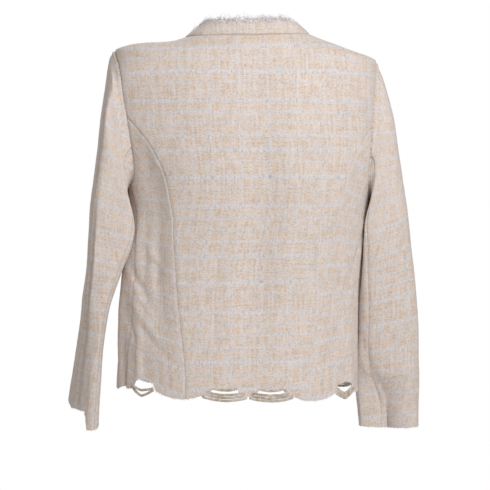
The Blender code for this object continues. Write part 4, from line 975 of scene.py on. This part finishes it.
def fray_line(line, ways, out, spacing, longest, curl, fray, rng):
    """Strands along an edge; line, ways and out are arrays of the same length."""
    reaches = reaches_of(line)
    count = int(reaches[-1] / spacing)
    at = np.sort(rng.uniform(0.0, reaches[-1], count))

    def pick(values):
        return np.stack([np.interp(at, reaches, column) for column in values.T], axis=-1)

    def spread(most=1.0, columns=3):
        return rng.uniform(-most, most, (count, columns))

    tufts = 1.0 + TUFTS * soft_noise(pick(line), TUFT_LENGTH, 3)
    length = np.interp(at, reaches, np.broadcast_to(longest, reaches.shape)) * tufts
    length = length * (SHORTEST + (1.0 - SHORTEST) * rng.random(count) ** LENGTH_POWER)
    side = pick(unit(np.gradient(line, axis=0)))
    lean = side * spread(LEAN_ALONG, 1) + pick(out) * spread(LEAN_OUT, 1)
    direction = unit(pick(ways) + lean)
    roots = pick(line) - pick(out) * rng.uniform(*ROOT_DEPTHS, (count, 1)) - direction * ROOT_TUCK
    sideways = side * spread(columns=1) + spread() * BEND_SPREAD
    curls = unit(spread()) * (CURL_SHARE * curl * length)[:, None]
    loops = unit(np.cross(curls, direction)) * (LOOP_SHARE * curl * length)[:, None]
    radius = fray.strand_radius * rng.uniform(*THICKNESS_SHARES, count)
    ways = direction * (length + ROOT_TUCK)[:, None]
    return strands(roots, ways, sideways * curl * length[:, None], curls, loops, radius)


def make_joined(name, parts, material):
    """One piece from the points and faces of several parts."""
    faces, start = [], 0
    for points, some_faces in parts:
        faces += [tuple(i + start for i in face) for face in some_faces]
        start += len(points)
    return make_piece(name, np.vstack([points for points, _ in parts]), faces, material)


def add_fringe(fray):
    """Frayed strip along the top edge of the collar band."""
    rng = np.random.default_rng(fray.seed)
    points = collar_points(COLLAR_HEIGHT + np.array((-FRINGE_INSET, 0.5 * FRINGE_STRIP, FRINGE_STRIP)))
    out = grid_normals(points, points * (1.0, 1.0, 0.0))
    points = lean_neck(points - out * FRINGE_INSET)
    points[:, 2, 2] += soft_noise(points[:, 2], FRINGE_WAVE_LENGTH, FRINGE_WAVE_SEED) * FRINGE_WAVE
    strip, faces = closed_sheet(points, points - out * FRINGE_THICKNESS)
    up = unit(points[:, 2] - points[:, 0])
    away = out[:, 2]
    sides, places = neck_line()
    worn = np.interp(places[:, 0], *np.array(WORN_EDGE).T)
    longest = np.where(sides < 0.0, worn, 1.0) * fray.collar_length
    parts = [(strip, faces.tolist())]
    for height, lift, fall, spacing, share in FRINGE_LAYERS:
        line = points[:, 1] + up * height + away * FRINGE_INSET
        ways = up * lift + away * fall
        parts.append(fray_line(line, ways, away, spacing, longest * share, FRINGE_CURL, fray, rng))
    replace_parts(make_joined("collar_fringe_strands", parts, "loose threads"), "collar_fringe")


def add_edge_fray(fray):
    """Short loose threads along the hem and round both cuffs."""
    rng = np.random.default_rng(fray.seed + 1)
    reaches = np.linspace(0.0, HEM_REACH[-1], HEM_THREAD_STEPS)
    places = on_hem(reaches, np.interp(reaches, *HEM_EDGE.T))
    edges = []
    for side in HANDS.values():
        line, out = torso(side, places), outward(side, places)
        down = unit(np.cross(out, unit(np.gradient(line, axis=0))))
        edges.append((line, down * -np.sign(down[:, 2:3]), out))
    for hand in HANDS:
        rings = sleeve_rings(hand)[0]
        line = rings[-1]
        edges.append((line, unit(line - rings[-3]), unit(line - line.mean(axis=0))))
    parts = [fray_line(*edge, fray.spacing, fray.edge_length, EDGE_CURL, fray, rng) for edge in edges]
    make_joined("edge_fray", parts, "loose threads")


# ------------------------------------------------------------------- hem cords
def swag_line(side, start, end, kind):
    """(reach, height) of the swag's cord, which runs to and fro from the top row down."""
    line = []
    full = [(first, 1.0 - first, *heights) for first, *heights in SWAG_ROWS]
    rows, power = (SIDE_ROWS[side], SIDE_SAG) if kind == "side" else (full, OPEN_SAG)
    for k, (first, last, end_height, middle_height) in enumerate(rows):
        t = np.linspace(first, last, SWAG_POINTS_PER_ROW)
        dip = 1.0 - np.abs(2.0 * (t - first) / (last - first) - 1.0) ** power
        row = list(zip(t, end_height + (middle_height - end_height) * dip))
        if k % 2:
            row.reverse()
        if line:
            above, below = line[-1], row[0]
            turn = above[1] + (below[1] - above[1]) * TURN_DEPTH
            line.append(((above[0] + below[0]) / 2, turn))
        line += row
    return np.array([(start + (end - start) * t, height) for t, height in line])


def tube(centres, out, radius, sides):
    """Closed round tube along a line of points."""
    forward = unit(np.gradient(centres, axis=0))
    across = unit(np.cross(forward, out))
    turns = np.linspace(0.0, 2 * math.pi, sides, endpoint=False)
    points = centres[:, None] + circles(unit(np.cross(across, forward)), across, turns) * radius
    last = (len(centres) - 1) * sides
    ends = [tuple(range(sides))[::-1], tuple(range(last, last + sides))]
    return points.reshape(-1, 3), tube_faces(len(centres), sides) + ends


def add_swag(number, side, scallop, cords, cloth):
    """Plies twisted round each other along the swag's line."""
    line = swag_line(side, *scallop)
    steps = int(reaches_of(line)[-1] / cords.step)
    places = on_hem(*even(open_curve(line, SWAG_CURVE_STEPS), steps).T)
    out = outward(side, places)
    centres = torso(side, places) - out * cloth.thickness / 2
    wobble = [soft_noise(centres, CORD_WOBBLE_LENGTH, seed) for seed in CORD_SEEDS]
    centres = centres + np.stack(wobble, axis=-1) * cords.wobble
    across = unit(np.cross(unit(np.gradient(centres, axis=0)), out))
    parts = []
    for ply in range(cords.plies):
        turn = 2 * math.pi * (reaches_of(centres) / cords.pitch + ply / cords.plies)
        offset = out * np.cos(turn)[:, None] + across * np.sin(turn)[:, None]
        ply_centres = centres + offset * cords.ply_radius * PLY_SPREAD
        parts.append(tube(ply_centres, out, cords.ply_radius, CORD_SIDES))
    name = "hem_swag_" + str(number)
    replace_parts(make_joined(name + "_cord", parts, "twisted cord"), name)


# ---------------------------------------------------------------------- materials
# Noises that move the woven bands: shares across and along, scale, detail, longest move.
BAND_WANDER = ((1.0, 1.0, 45.0, 2.0, 0.005), (1.0, 0.25, 420.0, 1.0, 0.003))
# Shares of a band's half width, and distances at which a thin line and the painted shade along a seam fade.
BAND_CORE, BAND_EDGE, LINE_PLACE = 0.35, 1.45, 0.75
LINE_FADE, SEAM_FADE = (0.0003, 0.0011), (0.0003, 0.0016)
YARN_NOISES = (
    # shares of a thread across and along, scale, detail, roughness
    (0.48, 1.1, 1.0, 3.0, 0.6),
    (0.62, 0.04, 1.0, 2.0, 0.6),
    (0.045, 0.62, 1.0, 2.0, 0.6),
    (0.95, 0.22, 1.0, 2.0, 0.6),
    (0.15, 0.13, 1.0, 2.0, 0.5),
    (0.1, 0.06, 1.0, 1.0, 0.5),
)
TONE_SHARES, HEIGHT_SHARES = (0.5, 0.28, 0.22), (0.35, 0.06)
TONE_SPAN, UPRIGHT_SPAN, BLOTCH_SPAN, FLECK_SPAN = (0.38, 0.6), (0.38, 0.58), (0.4, 0.66), (0.48, 0.62)
RIB_TURNS, RIB_SWAY, RIB_SPAN = 1.85, 9.0, (0.66, 1.0)
WARM_SHARE, BLOTCH_SHARE, LINE_SHARE, CROSSING_FLECKS = 0.75, 0.5, 0.5, 0.45
PIT_SHADE = (0.5, 0.72, 0.84, 1.03)
TWEED_ROUGHNESS, SHEEN, SHEEN_ROUGHNESS, SPECULAR = 0.95, 0.15, 0.6, 0.25
YARN_BUMP, YARN_RELIEF = 0.55, 0.45
FIBRE_TONES, FIBRE_HUES, HUE_SPREAD = (0.32, 0.68), (0.42, 0.6), 0.37
FIBRE_FINENESS, FIBRE_BUMP, FIBRE_RELIEF = 4.0, 0.3, 0.0002
STRAND_LOOKS = (
    # material, its settings, size of its patches of colour, roughness
    ("loose threads", "jacket_fray", 0.0016, 0.95),
    ("twisted cord", "jacket_cords", 0.003, 0.8),
)


class Nodes:
    """Small helper that adds and links shader nodes."""

    def __init__(self, tree):
        self.tree = tree

    def add(self, kind, *values, settings=(), **named):
        """New node whose first inputs, or those named, are set or linked."""
        node = self.tree.nodes.new(kind)
        for name, value in dict(settings).items():
            setattr(node, name, value)
        for key, value in (*enumerate(values), *named.items()):
            self.feed(node.inputs[key], value)
        return node

    def feed(self, socket, value):
        if isinstance(value, bpy.types.NodeSocket):
            self.tree.links.new(value, socket)
        else:
            socket.default_value = value

    def math(self, operation, *values):
        return self.add("ShaderNodeMath", *values, settings={"operation": operation}).outputs[0]

    def plus(self, a, b):
        return self.math("ADD", a, b)

    def less(self, a, b):
        return self.math("SUBTRACT", a, b)

    def times(self, a, b):
        return self.math("MULTIPLY", a, b)

    def most(self, values):
        total = values[0]
        for value in values[1:]:
            total = self.math("MAXIMUM", total, value)
        return total

    def level(self, value, low, high, to_low=0.0, to_high=1.0):
        return self.add("ShaderNodeMapRange", value, low, high, to_low, to_high).outputs[0]

    def mix(self, factor, a, b, blend="MIX"):
        node = self.add("ShaderNodeMix", factor, settings={"data_type": "RGBA", "blend_type": blend})
        self.feed(node.inputs[6], a)
        self.feed(node.inputs[7], b)
        return node.outputs[2]

    def noise(self, vector, scale, detail=2.0, roughness=0.5):
        looks = {"Scale": scale, "Detail": detail, "Roughness": roughness}
        return self.add("ShaderNodeTexNoise", Vector=vector, **looks).outputs["Fac"]

    def cloth_noise(self, vector, across, along, scale, detail, roughness=0.5):
        settings = {"operation": "MULTIPLY"}
        place = self.add("ShaderNodeVectorMath", vector, (across, along, 0.0), settings=settings)
        return self.noise(place.outputs[0], scale, detail, roughness)


def new_group(name, inputs, outputs):
    """Group with the weave and some numbers going in, and numbers coming out."""
    tree = bpy.data.node_groups.new(name, "ShaderNodeTree")
    tree.interface.new_socket("Weave", in_out="INPUT", socket_type="NodeSocketVector")
    for in_out, names in (("INPUT", inputs), ("OUTPUT", outputs)):
        for socket in names:
            tree.interface.new_socket(socket, in_out=in_out, socket_type="NodeSocketFloat")
    nodes = Nodes(tree)
    return tree, nodes, nodes.add("NodeGroupInput").outputs, nodes.add("NodeGroupOutput").inputs


def bands_group():
    """Masks of pale bands both ways, of thin lines beside them and of the painted shade along seams."""
    masks = ("Weft", "Weft Line", "Warp", "Warp Line", "Seam")
    tree, nodes, start, end = new_group("Woven bands", ("Weft Repeat", "Warp Repeat"), masks)
    moves = []
    for *look, furthest in BAND_WANDER:
        moves.append(nodes.times(nodes.less(nodes.cloth_noise(start["Weave"], *look), 0.5), furthest))
    moved = nodes.plus(*moves)
    parts = nodes.add("ShaderNodeSeparateXYZ", start["Weave"]).outputs
    nodes.feed(end["Seam"], nodes.level(parts["Z"], *SEAM_FADE, 1.0, 0.0))
    for axis, name, bands in (("Y", "Weft", WEFT_BANDS), ("X", "Warp", WARP_BANDS)):
        repeat = start[name + " Repeat"]
        share = nodes.math("FRACT", nodes.math("DIVIDE", nodes.plus(parts[axis], moved), repeat))
        place = nodes.times(share, repeat)
        masks, lines = [], []
        for centre, half_width, strength in bands:
            away = nodes.math("ABSOLUTE", nodes.less(place, centre))
            if centre == 0.0:
                away = nodes.math("MINIMUM", away, nodes.less(repeat, place))
            masks.append(nodes.level(away, half_width * BAND_CORE, half_width * BAND_EDGE, strength, 0.0))
            aside = nodes.math("ABSOLUTE", nodes.less(place, centre + half_width * LINE_PLACE))
            lines.append(nodes.level(aside, *LINE_FADE, strength, 0.0))
        nodes.feed(end[name], nodes.most(masks))
        nodes.feed(end[name + " Line"], nodes.most(lines))
    return tree


def yarn_group():
    """Uneven looped yarn: tones of the threads both ways, flecks between them and height."""
    outputs = ("Tone", "Upright", "Blotch", "Fleck", "Height")
    tree, nodes, start, end = new_group("Looped yarn", ("Thread",), outputs)
    scale = nodes.math("DIVIDE", 1.0, start["Thread"])
    scaled = nodes.add("ShaderNodeVectorMath", start["Weave"], Scale=scale, settings={"operation": "SCALE"})
    place = scaled.outputs[0]
    noises = [nodes.cloth_noise(place, *look) for look in YARN_NOISES]
    crinkle, upright, level, dashes, blotch, sway = noises
    parts = nodes.add("ShaderNodeSeparateXYZ", place).outputs
    cells = nodes.times(*(nodes.math("SINE", nodes.times(parts[axis], math.pi)) for axis in "XY"))
    rib = nodes.plus(nodes.times(parts["X"], RIB_TURNS), nodes.times(sway, RIB_SWAY))
    rib = nodes.level(nodes.math("SINE", rib), *RIB_SPAN)
    shares = [nodes.times(value, share) for value, share in zip(noises, TONE_SHARES)]
    tone = nodes.plus(nodes.plus(*shares[:2]), shares[2])
    nodes.feed(end["Tone"], nodes.level(tone, *TONE_SPAN))
    nodes.feed(end["Upright"], nodes.times(rib, nodes.level(upright, *UPRIGHT_SPAN)))
    nodes.feed(end["Blotch"], nodes.level(blotch, *BLOTCH_SPAN))
    nodes.feed(end["Fleck"], nodes.level(dashes, *FLECK_SPAN))
    height = nodes.plus(tone, nodes.times(crinkle, HEIGHT_SHARES[0]))
    nodes.feed(end["Height"], nodes.plus(height, nodes.times(cells, HEIGHT_SHARES[1])))
    return tree


def new_material(name, roughness):
    material = bpy.data.materials.new(name)
    material.use_nodes = True
    shader = material.node_tree.nodes["Principled BSDF"].inputs
    for socket, value in (("Roughness", roughness), ("Metallic", 0.0), ("Specular IOR Level", SPECULAR)):
        shader[socket].default_value = value
    return Nodes(material.node_tree), shader


def add_bump(nodes, shader, height, strength, distance):
    bump = nodes.add("ShaderNodeBump", Height=height, Strength=strength, Distance=distance)
    nodes.feed(shader["Normal"], bump.outputs[0])


def colours_of(settings, *names):
    return [(*getattr(settings, name + "_colour"), 1.0) for name in names]


def tweed_material(cloth, bands, yarn):
    nodes, shader = new_material("woven tweed", TWEED_ROUGHNESS)
    weave = nodes.add("ShaderNodeAttribute", settings={"attribute_name": "weave"}).outputs["Vector"]
    repeats = cloth.weft_repeat, cloth.warp_repeat
    band = nodes.add("ShaderNodeGroup", weave, *repeats, settings={"node_tree": bands}).outputs
    thread = nodes.add("ShaderNodeGroup", weave, cloth.thread, settings={"node_tree": yarn}).outputs
    names = ("shadow", "base", "warm", "pale", "grey", "seam")
    shadow, base, warm, pale, grey, seam_line = colours_of(cloth, *names)
    # Painted shade: where the Tone noise is low the yarn takes the shadow colour, and the bump sinks there
    # too.
    colour = nodes.mix(thread["Tone"], shadow, base)
    colour = nodes.mix(nodes.times(thread["Upright"], WARM_SHARE), colour, warm)
    colour = nodes.mix(nodes.times(thread["Blotch"], BLOTCH_SHARE), colour, pale)
    colour = nodes.mix(nodes.times(band["Warp"], cloth.warp_strength), colour, pale)
    fleck = nodes.times(thread["Fleck"], nodes.level(band["Warp"], 0.0, 1.0, CROSSING_FLECKS, 1.0))
    weft = nodes.times(band["Weft"], cloth.weft_strength)
    colour = nodes.mix(weft, colour, nodes.mix(fleck, pale, grey))
    lines = nodes.times(nodes.most((band["Weft Line"], band["Warp Line"])), fleck)
    colour = nodes.mix(nodes.times(lines, LINE_SHARE), colour, grey)
    # Painted shade: a dark line along each seam, where two pieces meet.
    colour = nodes.mix(nodes.times(band["Seam"], cloth.seam_shade), colour, seam_line)
    # Painted shade: the colour is darkened where the yarn's height is low, in the pits between the loops.
    painted_pit_shade = nodes.level(thread["Height"], *PIT_SHADE)
    painted_pit_shade = nodes.add("ShaderNodeCombineColor", painted_pit_shade, painted_pit_shade, painted_pit_shade).outputs[0]
    nodes.feed(shader["Base Color"], nodes.mix(1.0, colour, painted_pit_shade, "MULTIPLY"))
    shader["Sheen Weight"].default_value = SHEEN
    shader["Sheen Roughness"].default_value = SHEEN_ROUGHNESS
    add_bump(nodes, shader, thread["Height"], YARN_BUMP, cloth.thread * YARN_RELIEF)


def strand_material(name, settings, size, roughness):
    """Fibres whose colour changes from strand to strand; on the twisted cord the light and dark colours are
    painted light and shade.
    """
    nodes, shader = new_material(name, roughness)
    place = nodes.add("ShaderNodeTexCoord").outputs["Object"]
    tone = nodes.level(nodes.noise(place, 1.0 / size), *FIBRE_TONES)
    hue = nodes.level(nodes.noise(place, HUE_SPREAD / size, 1.0), *FIBRE_HUES)
    light, dark, warm = colours_of(settings, "light", "dark", "warm")
    nodes.feed(shader["Base Color"], nodes.mix(hue, nodes.mix(tone, dark, light), warm))
    add_bump(nodes, shader, nodes.noise(place, FIBRE_FINENESS / size), FIBRE_BUMP, FIBRE_RELIEF)


# ------------------------------------------------------------------------ settings
def number(name, default, description, **kind):
    return FloatProperty(name=name, default=default, description=description, **kind)


def length(name, default, description):
    return number(name, default, description, unit="LENGTH", precision=5)


def colour(name, default, description):
    return FloatVectorProperty(name=name, default=default, subtype="COLOR", description=description)


class JacketClothSettings(bpy.types.PropertyGroup):
    thickness: length("Thickness", 0.0019, "Thickness of the tweed")
    wave_height: length("Waves", 0.0011, "Height of the cloth's broad unevenness")
    crinkle_height: length("Crinkle", 0.00028, "Height of the small puckers between threads")
    seam_depth: length("Seam depth", 0.0013, "How deep a seam sinks into the cloth")
    seam_width: length("Seam width", 0.0026, "Distance over which the cloth turns down to a seam")
    tuck: length("Tuck", 0.003, "How far the sleeves and collar reach under the body's edge")
    thread: length("Thread", 0.0021, "Spacing of the looped yarn")
    weft_repeat: length("Weft repeat", 0.156, "Length of the cross stripes' repeat")
    warp_repeat: length("Warp repeat", 0.0451, "Width of the lengthwise stripes' repeat")
    weft_strength: number("Weft strength", 0.7, "Strength of the cross stripes", subtype="FACTOR")
    warp_strength: number("Warp strength", 0.42, "Strength of the lengthwise stripes", subtype="FACTOR")
    # Painted shade along the seams: how much of it is taken off the panels and how dark it is.
    seam_soft: length("Seam softness", 0.0007, "Takes this much off the dark line of the panels' seams")
    seam_shade: number("Seam shade", 0.72, "Darkness of the line where two pieces meet", subtype="FACTOR")
    base_colour: colour("Yarn", (0.765, 0.628, 0.528), "Peach and cream yarn")
    # Painted shade: the yarn's colour in the hollows between the loops.
    shadow_colour: colour("Yarn shade", (0.595, 0.492, 0.42), "The same yarn between the loops")
    warm_colour: colour("Warm yarn", (0.66, 0.52, 0.4), "Ochre threads that run down the cloth")
    pale_colour: colour("Pale yarn", (0.722, 0.707, 0.732), "Whitish yarn of the stripes")
    grey_colour: colour("Grey yarn", (0.42, 0.435, 0.475), "Blue-grey flecks in the stripes")
    # Painted shade where two pieces meet at a seam.
    seam_colour: colour("Seam line", (0.26, 0.19, 0.14), "Shade between two pieces at a seam")


class JacketFraySettings(bpy.types.PropertyGroup):
    collar_length: length("Collar strands", 0.0098, "Longest strand on the collar's edge")
    edge_length: length("Edge strands", 0.0026, "Longest loose thread at the hem and cuffs")
    spacing: length("Spacing", 0.001, "Distance between loose threads at the hem and cuffs")
    strand_radius: length("Strand radius", 0.00042, "Radius of a loose thread")
    seed: IntProperty(name="Seed", default=7, description="Seed of the strands' places")
    light_colour: colour("Light thread", (0.88, 0.87, 0.9), "Whitish threads")
    dark_colour: colour("Grey thread", (0.57, 0.57, 0.6), "Grey threads")
    warm_colour: colour("Warm thread", (0.8, 0.75, 0.73), "Peach threads")


class JacketCordSettings(bpy.types.PropertyGroup):
    ply_radius: length("Ply radius", 0.0012, "Radius of one ply of the cord")
    pitch: length("Pitch", 0.0068, "Length of one turn of the plies")
    step: length("Step", 0.0008, "Distance between the cord's rings")
    wobble: length("Wobble", 0.0004, "How far the cord wanders off its line")
    plies: IntProperty(name="Plies", default=2, description="Number of plies in the cord")
    # Painted light and shade: the cord's lit yarn and its yarn in shade between the plies, mixed by noise.
    light_colour: colour("Light yarn", (0.62, 0.53, 0.43), "Lit yarn of the cord")
    dark_colour: colour("Dark yarn", (0.4, 0.31, 0.22), "Yarn between the plies")
    warm_colour: colour("Pale yarn", (0.66, 0.61, 0.56), "Whitish fibres")


class JacketStageSettings(bpy.types.PropertyGroup):
    floor_level: length("Floor level", -1.42, "Height of the floor, as far down as the wearer's feet")
    floor_size: length("Floor size", 6.0, "Width of the floor")
    key_power: number("Key light", 41.5, "Power of the main soft light", unit="POWER")
    fill_power: number("Fill light", 34.0, "Power of the soft light in front", unit="POWER")
    sky_strength: number("Sky", 0.33, "Strength of the even light all round")
    sky_colour: colour("Sky colour", (1.0, 0.93, 0.86), "Colour of the even light")
    camera_turn: number("Camera turn", math.radians(172.0), "Angle round the jacket", unit="ROTATION")
    camera_roll: number("Camera roll", math.radians(1.5), "Camera's roll", unit="ROTATION")
    camera_distance: length("Camera distance", 2.3, "Distance from the camera to its target")
    lens: number("Lens", 108.15, "Focal length on a 36 mm frame", unit="CAMERA")


SETTINGS = {
    "jacket_cloth": JacketClothSettings,
    "jacket_fray": JacketFraySettings,
    "jacket_cords": JacketCordSettings,
    "jacket_stage": JacketStageSettings,
}
CAMERA_TARGET = Vector((-0.0054, 0.0, -0.325))
FRAME_WIDTH = 36.0
WHITE = (1.0, 1.0, 1.0, 1.0)
FLOOR_TINTS = ((0.86, 0.86, 0.86, 1.0), (0.9, 0.9, 0.9, 1.0))
FLOOR_PATCHES, FLOOR_ROUGHNESS = 1.5, 0.9
LAMPS = (
    # name, place, size, its power's setting
    ("key", (-0.6, 1.95, 0.95), 1.4, "key_power"),
    ("fill", (0.5, -2.3, 0.8), 2.0, "fill_power"),
)


# ----------------------------------------------------------------------- operators
class JACKET_OT_materials(bpy.types.Operator):
    """Make the tweed, the loose threads and the cord's yarn"""

    bl_idname = "jacket.materials"
    bl_label = "Materials"

    def execute(self, context):
        scene = context.scene
        tweed_material(scene.jacket_cloth, bands_group(), yarn_group())
        for name, settings, size, roughness in STRAND_LOOKS:
            strand_material(name, getattr(scene, settings), size, roughness)
        return {"FINISHED"}


class JACKET_OT_back(bpy.types.Operator):
    """Cut the centre back and both side backs"""

    bl_idname = "jacket.back"
    bl_label = "Back panels"

    def execute(self, context):
        cloth = context.scene.jacket_cloth
        add_back_centre(cloth)
        for hand in HANDS:
            add_back_side(hand, cloth)
        return {"FINISHED"}


class JACKET_OT_fronts(bpy.types.Operator):
    """Cut both fronts"""

    bl_idname = "jacket.fronts"
    bl_label = "Fronts"

    def execute(self, context):
        for hand in HANDS:
            add_front(hand, context.scene.jacket_cloth)
        return {"FINISHED"}


class JACKET_OT_sleeves(bpy.types.Operator):
    """Set in both sleeves"""

    bl_idname = "jacket.sleeves"
    bl_label = "Sleeves"

    def execute(self, context):
        for hand in HANDS:
            add_sleeve(hand, context.scene.jacket_cloth)
        return {"FINISHED"}


class JACKET_OT_collar(bpy.types.Operator):
    """Sew on the collar band and fray its top edge"""

    bl_idname = "jacket.collar"
    bl_label = "Collar"

    def execute(self, context):
        scene = context.scene
        add_collar(scene.jacket_cloth)
        add_fringe(scene.jacket_fray)
        return {"FINISHED"}


class JACKET_OT_edges(bpy.types.Operator):
    """Fray the hem and the cuffs"""

    bl_idname = "jacket.edges"
    bl_label = "Loose threads"

    def execute(self, context):
        add_edge_fray(context.scene.jacket_fray)
        return {"FINISHED"}


class JACKET_OT_cords(bpy.types.Operator):
    """Loop the twisted cords through the open scallops"""

    bl_idname = "jacket.cords"
    bl_label = "Hem cords"

    def execute(self, context):
        scene = context.scene
        number = 0
        for side in HANDS.values():
            for scallop in scallops():
                if scallop[2] != "plain":
                    number += 1
                    add_swag(number, side, scallop, scene.jacket_cords, scene.jacket_cloth)
        return {"FINISHED"}


class JACKET_OT_stage(bpy.types.Operator):
    """Add the floor, the lights and the camera"""

    bl_idname = "jacket.stage"
    bl_label = "Stage"

    def execute(self, context):
        stage = context.scene.jacket_stage
        add_floor(stage)
        add_lights(stage)
        add_camera(stage)
        return {"FINISHED"}


def add_floor(stage):
    """Mottled floor that shows as clear from below."""
    half = stage.floor_size / 2
    corners = [(-half, -half), (half, -half), (half, half), (-half, half)]
    mesh = bpy.data.meshes.new("floor")
    mesh.from_pydata([(x, y, stage.floor_level) for x, y in corners], [], [(0, 1, 2, 3)])
    nodes, shader = new_material("floor", FLOOR_ROUGHNESS)
    place = nodes.add("ShaderNodeTexCoord").outputs["Object"]
    mottle = nodes.level(nodes.noise(place, FLOOR_PATCHES), 0.0, 1.0)
    nodes.feed(shader["Base Color"], nodes.mix(mottle, *FLOOR_TINTS))
    under = nodes.add("ShaderNodeNewGeometry").outputs["Backfacing"]
    nodes.feed(shader["Alpha"], nodes.less(1.0, under))
    mesh.materials.append(bpy.data.materials["floor"])
    add_object("floor", mesh)


def add_lights(stage):
    """Even light all round, seen as white, and two soft lamps that face the jacket."""
    scene = bpy.context.scene
    scene.world = scene.world or bpy.data.worlds.new("World")
    scene.world.use_nodes = True
    scene.view_settings.view_transform = "Standard"
    nodes = Nodes(scene.world.node_tree)
    background = nodes.tree.nodes["Background"].inputs
    seen = nodes.add("ShaderNodeLightPath").outputs["Is Camera Ray"]
    nodes.feed(background["Color"], nodes.mix(seen, *colours_of(stage, "sky"), WHITE))
    nodes.feed(background["Strength"], nodes.level(seen, 0.0, 1.0, stage.sky_strength, 1.0))
    for name, place, size, power in LAMPS:
        light = bpy.data.lights.new(name, "AREA")
        light.size = size
        light.energy = getattr(stage, power)
        lamp = add_object(name, light)
        lamp.location = place
        lamp.rotation_euler = (CAMERA_TARGET - Vector(place)).to_track_quat("-Z", "Y").to_euler()


def add_camera(stage):
    """Camera level with the jacket's middle, behind it and a little to its left."""
    away = Vector((math.sin(stage.camera_turn), -math.cos(stage.camera_turn), 0.0))
    right = Vector((-away.y, away.x, 0.0))
    up = Vector((0.0, 0.0, 1.0))
    c, s = math.cos(stage.camera_roll), math.sin(stage.camera_roll)
    turn = Matrix((right * c + up * s, up * c - right * s, away)).transposed()
    lens = bpy.data.cameras.new("camera")
    lens.lens = stage.lens
    lens.sensor_width = FRAME_WIDTH
    camera = add_object("camera", lens)
    camera.matrix_world = Matrix.Translation(CAMERA_TARGET + away * stage.camera_distance) @ turn.to_4x4()
    bpy.context.scene.camera = camera


OPERATORS = (
    JACKET_OT_materials,
    JACKET_OT_back,
    JACKET_OT_fronts,
    JACKET_OT_sleeves,
    JACKET_OT_collar,
    JACKET_OT_edges,
    JACKET_OT_cords,
    JACKET_OT_stage,
)


class JACKET_PT_panel(bpy.types.Panel):
    """Panel in the sidebar of the 3D view"""

    bl_idname = "JACKET_PT_panel"
    bl_label = "Cropped jacket"
    bl_space_type = "VIEW_3D"
    bl_region_type = "UI"
    bl_category = "Jacket"

    def draw(self, context):
        for operator in OPERATORS:
            self.layout.operator(operator.bl_idname)
        for name, settings in SETTINGS.items():
            box = self.layout.box()
            for key in settings.__annotations__:
                box.prop(getattr(context.scene, name), key)


def register():
    for name, settings in SETTINGS.items():
        bpy.utils.register_class(settings)
        setattr(bpy.types.Scene, name, PointerProperty(type=settings))
    for operator in OPERATORS:
        bpy.utils.register_class(operator)
    bpy.utils.register_class(JACKET_PT_panel)


def unregister():
    bpy.utils.unregister_class(JACKET_PT_panel)
    for operator in reversed(OPERATORS):
        bpy.utils.unregister_class(operator)
    for name, settings in SETTINGS.items():
        delattr(bpy.types.Scene, name)
        bpy.utils.unregister_class(settings)


def main():
    register()
    for operator in OPERATORS:
        group, name = operator.bl_idname.split(".")
        getattr(getattr(bpy.ops, group), name)()


if __name__ == "__main__":
    main()
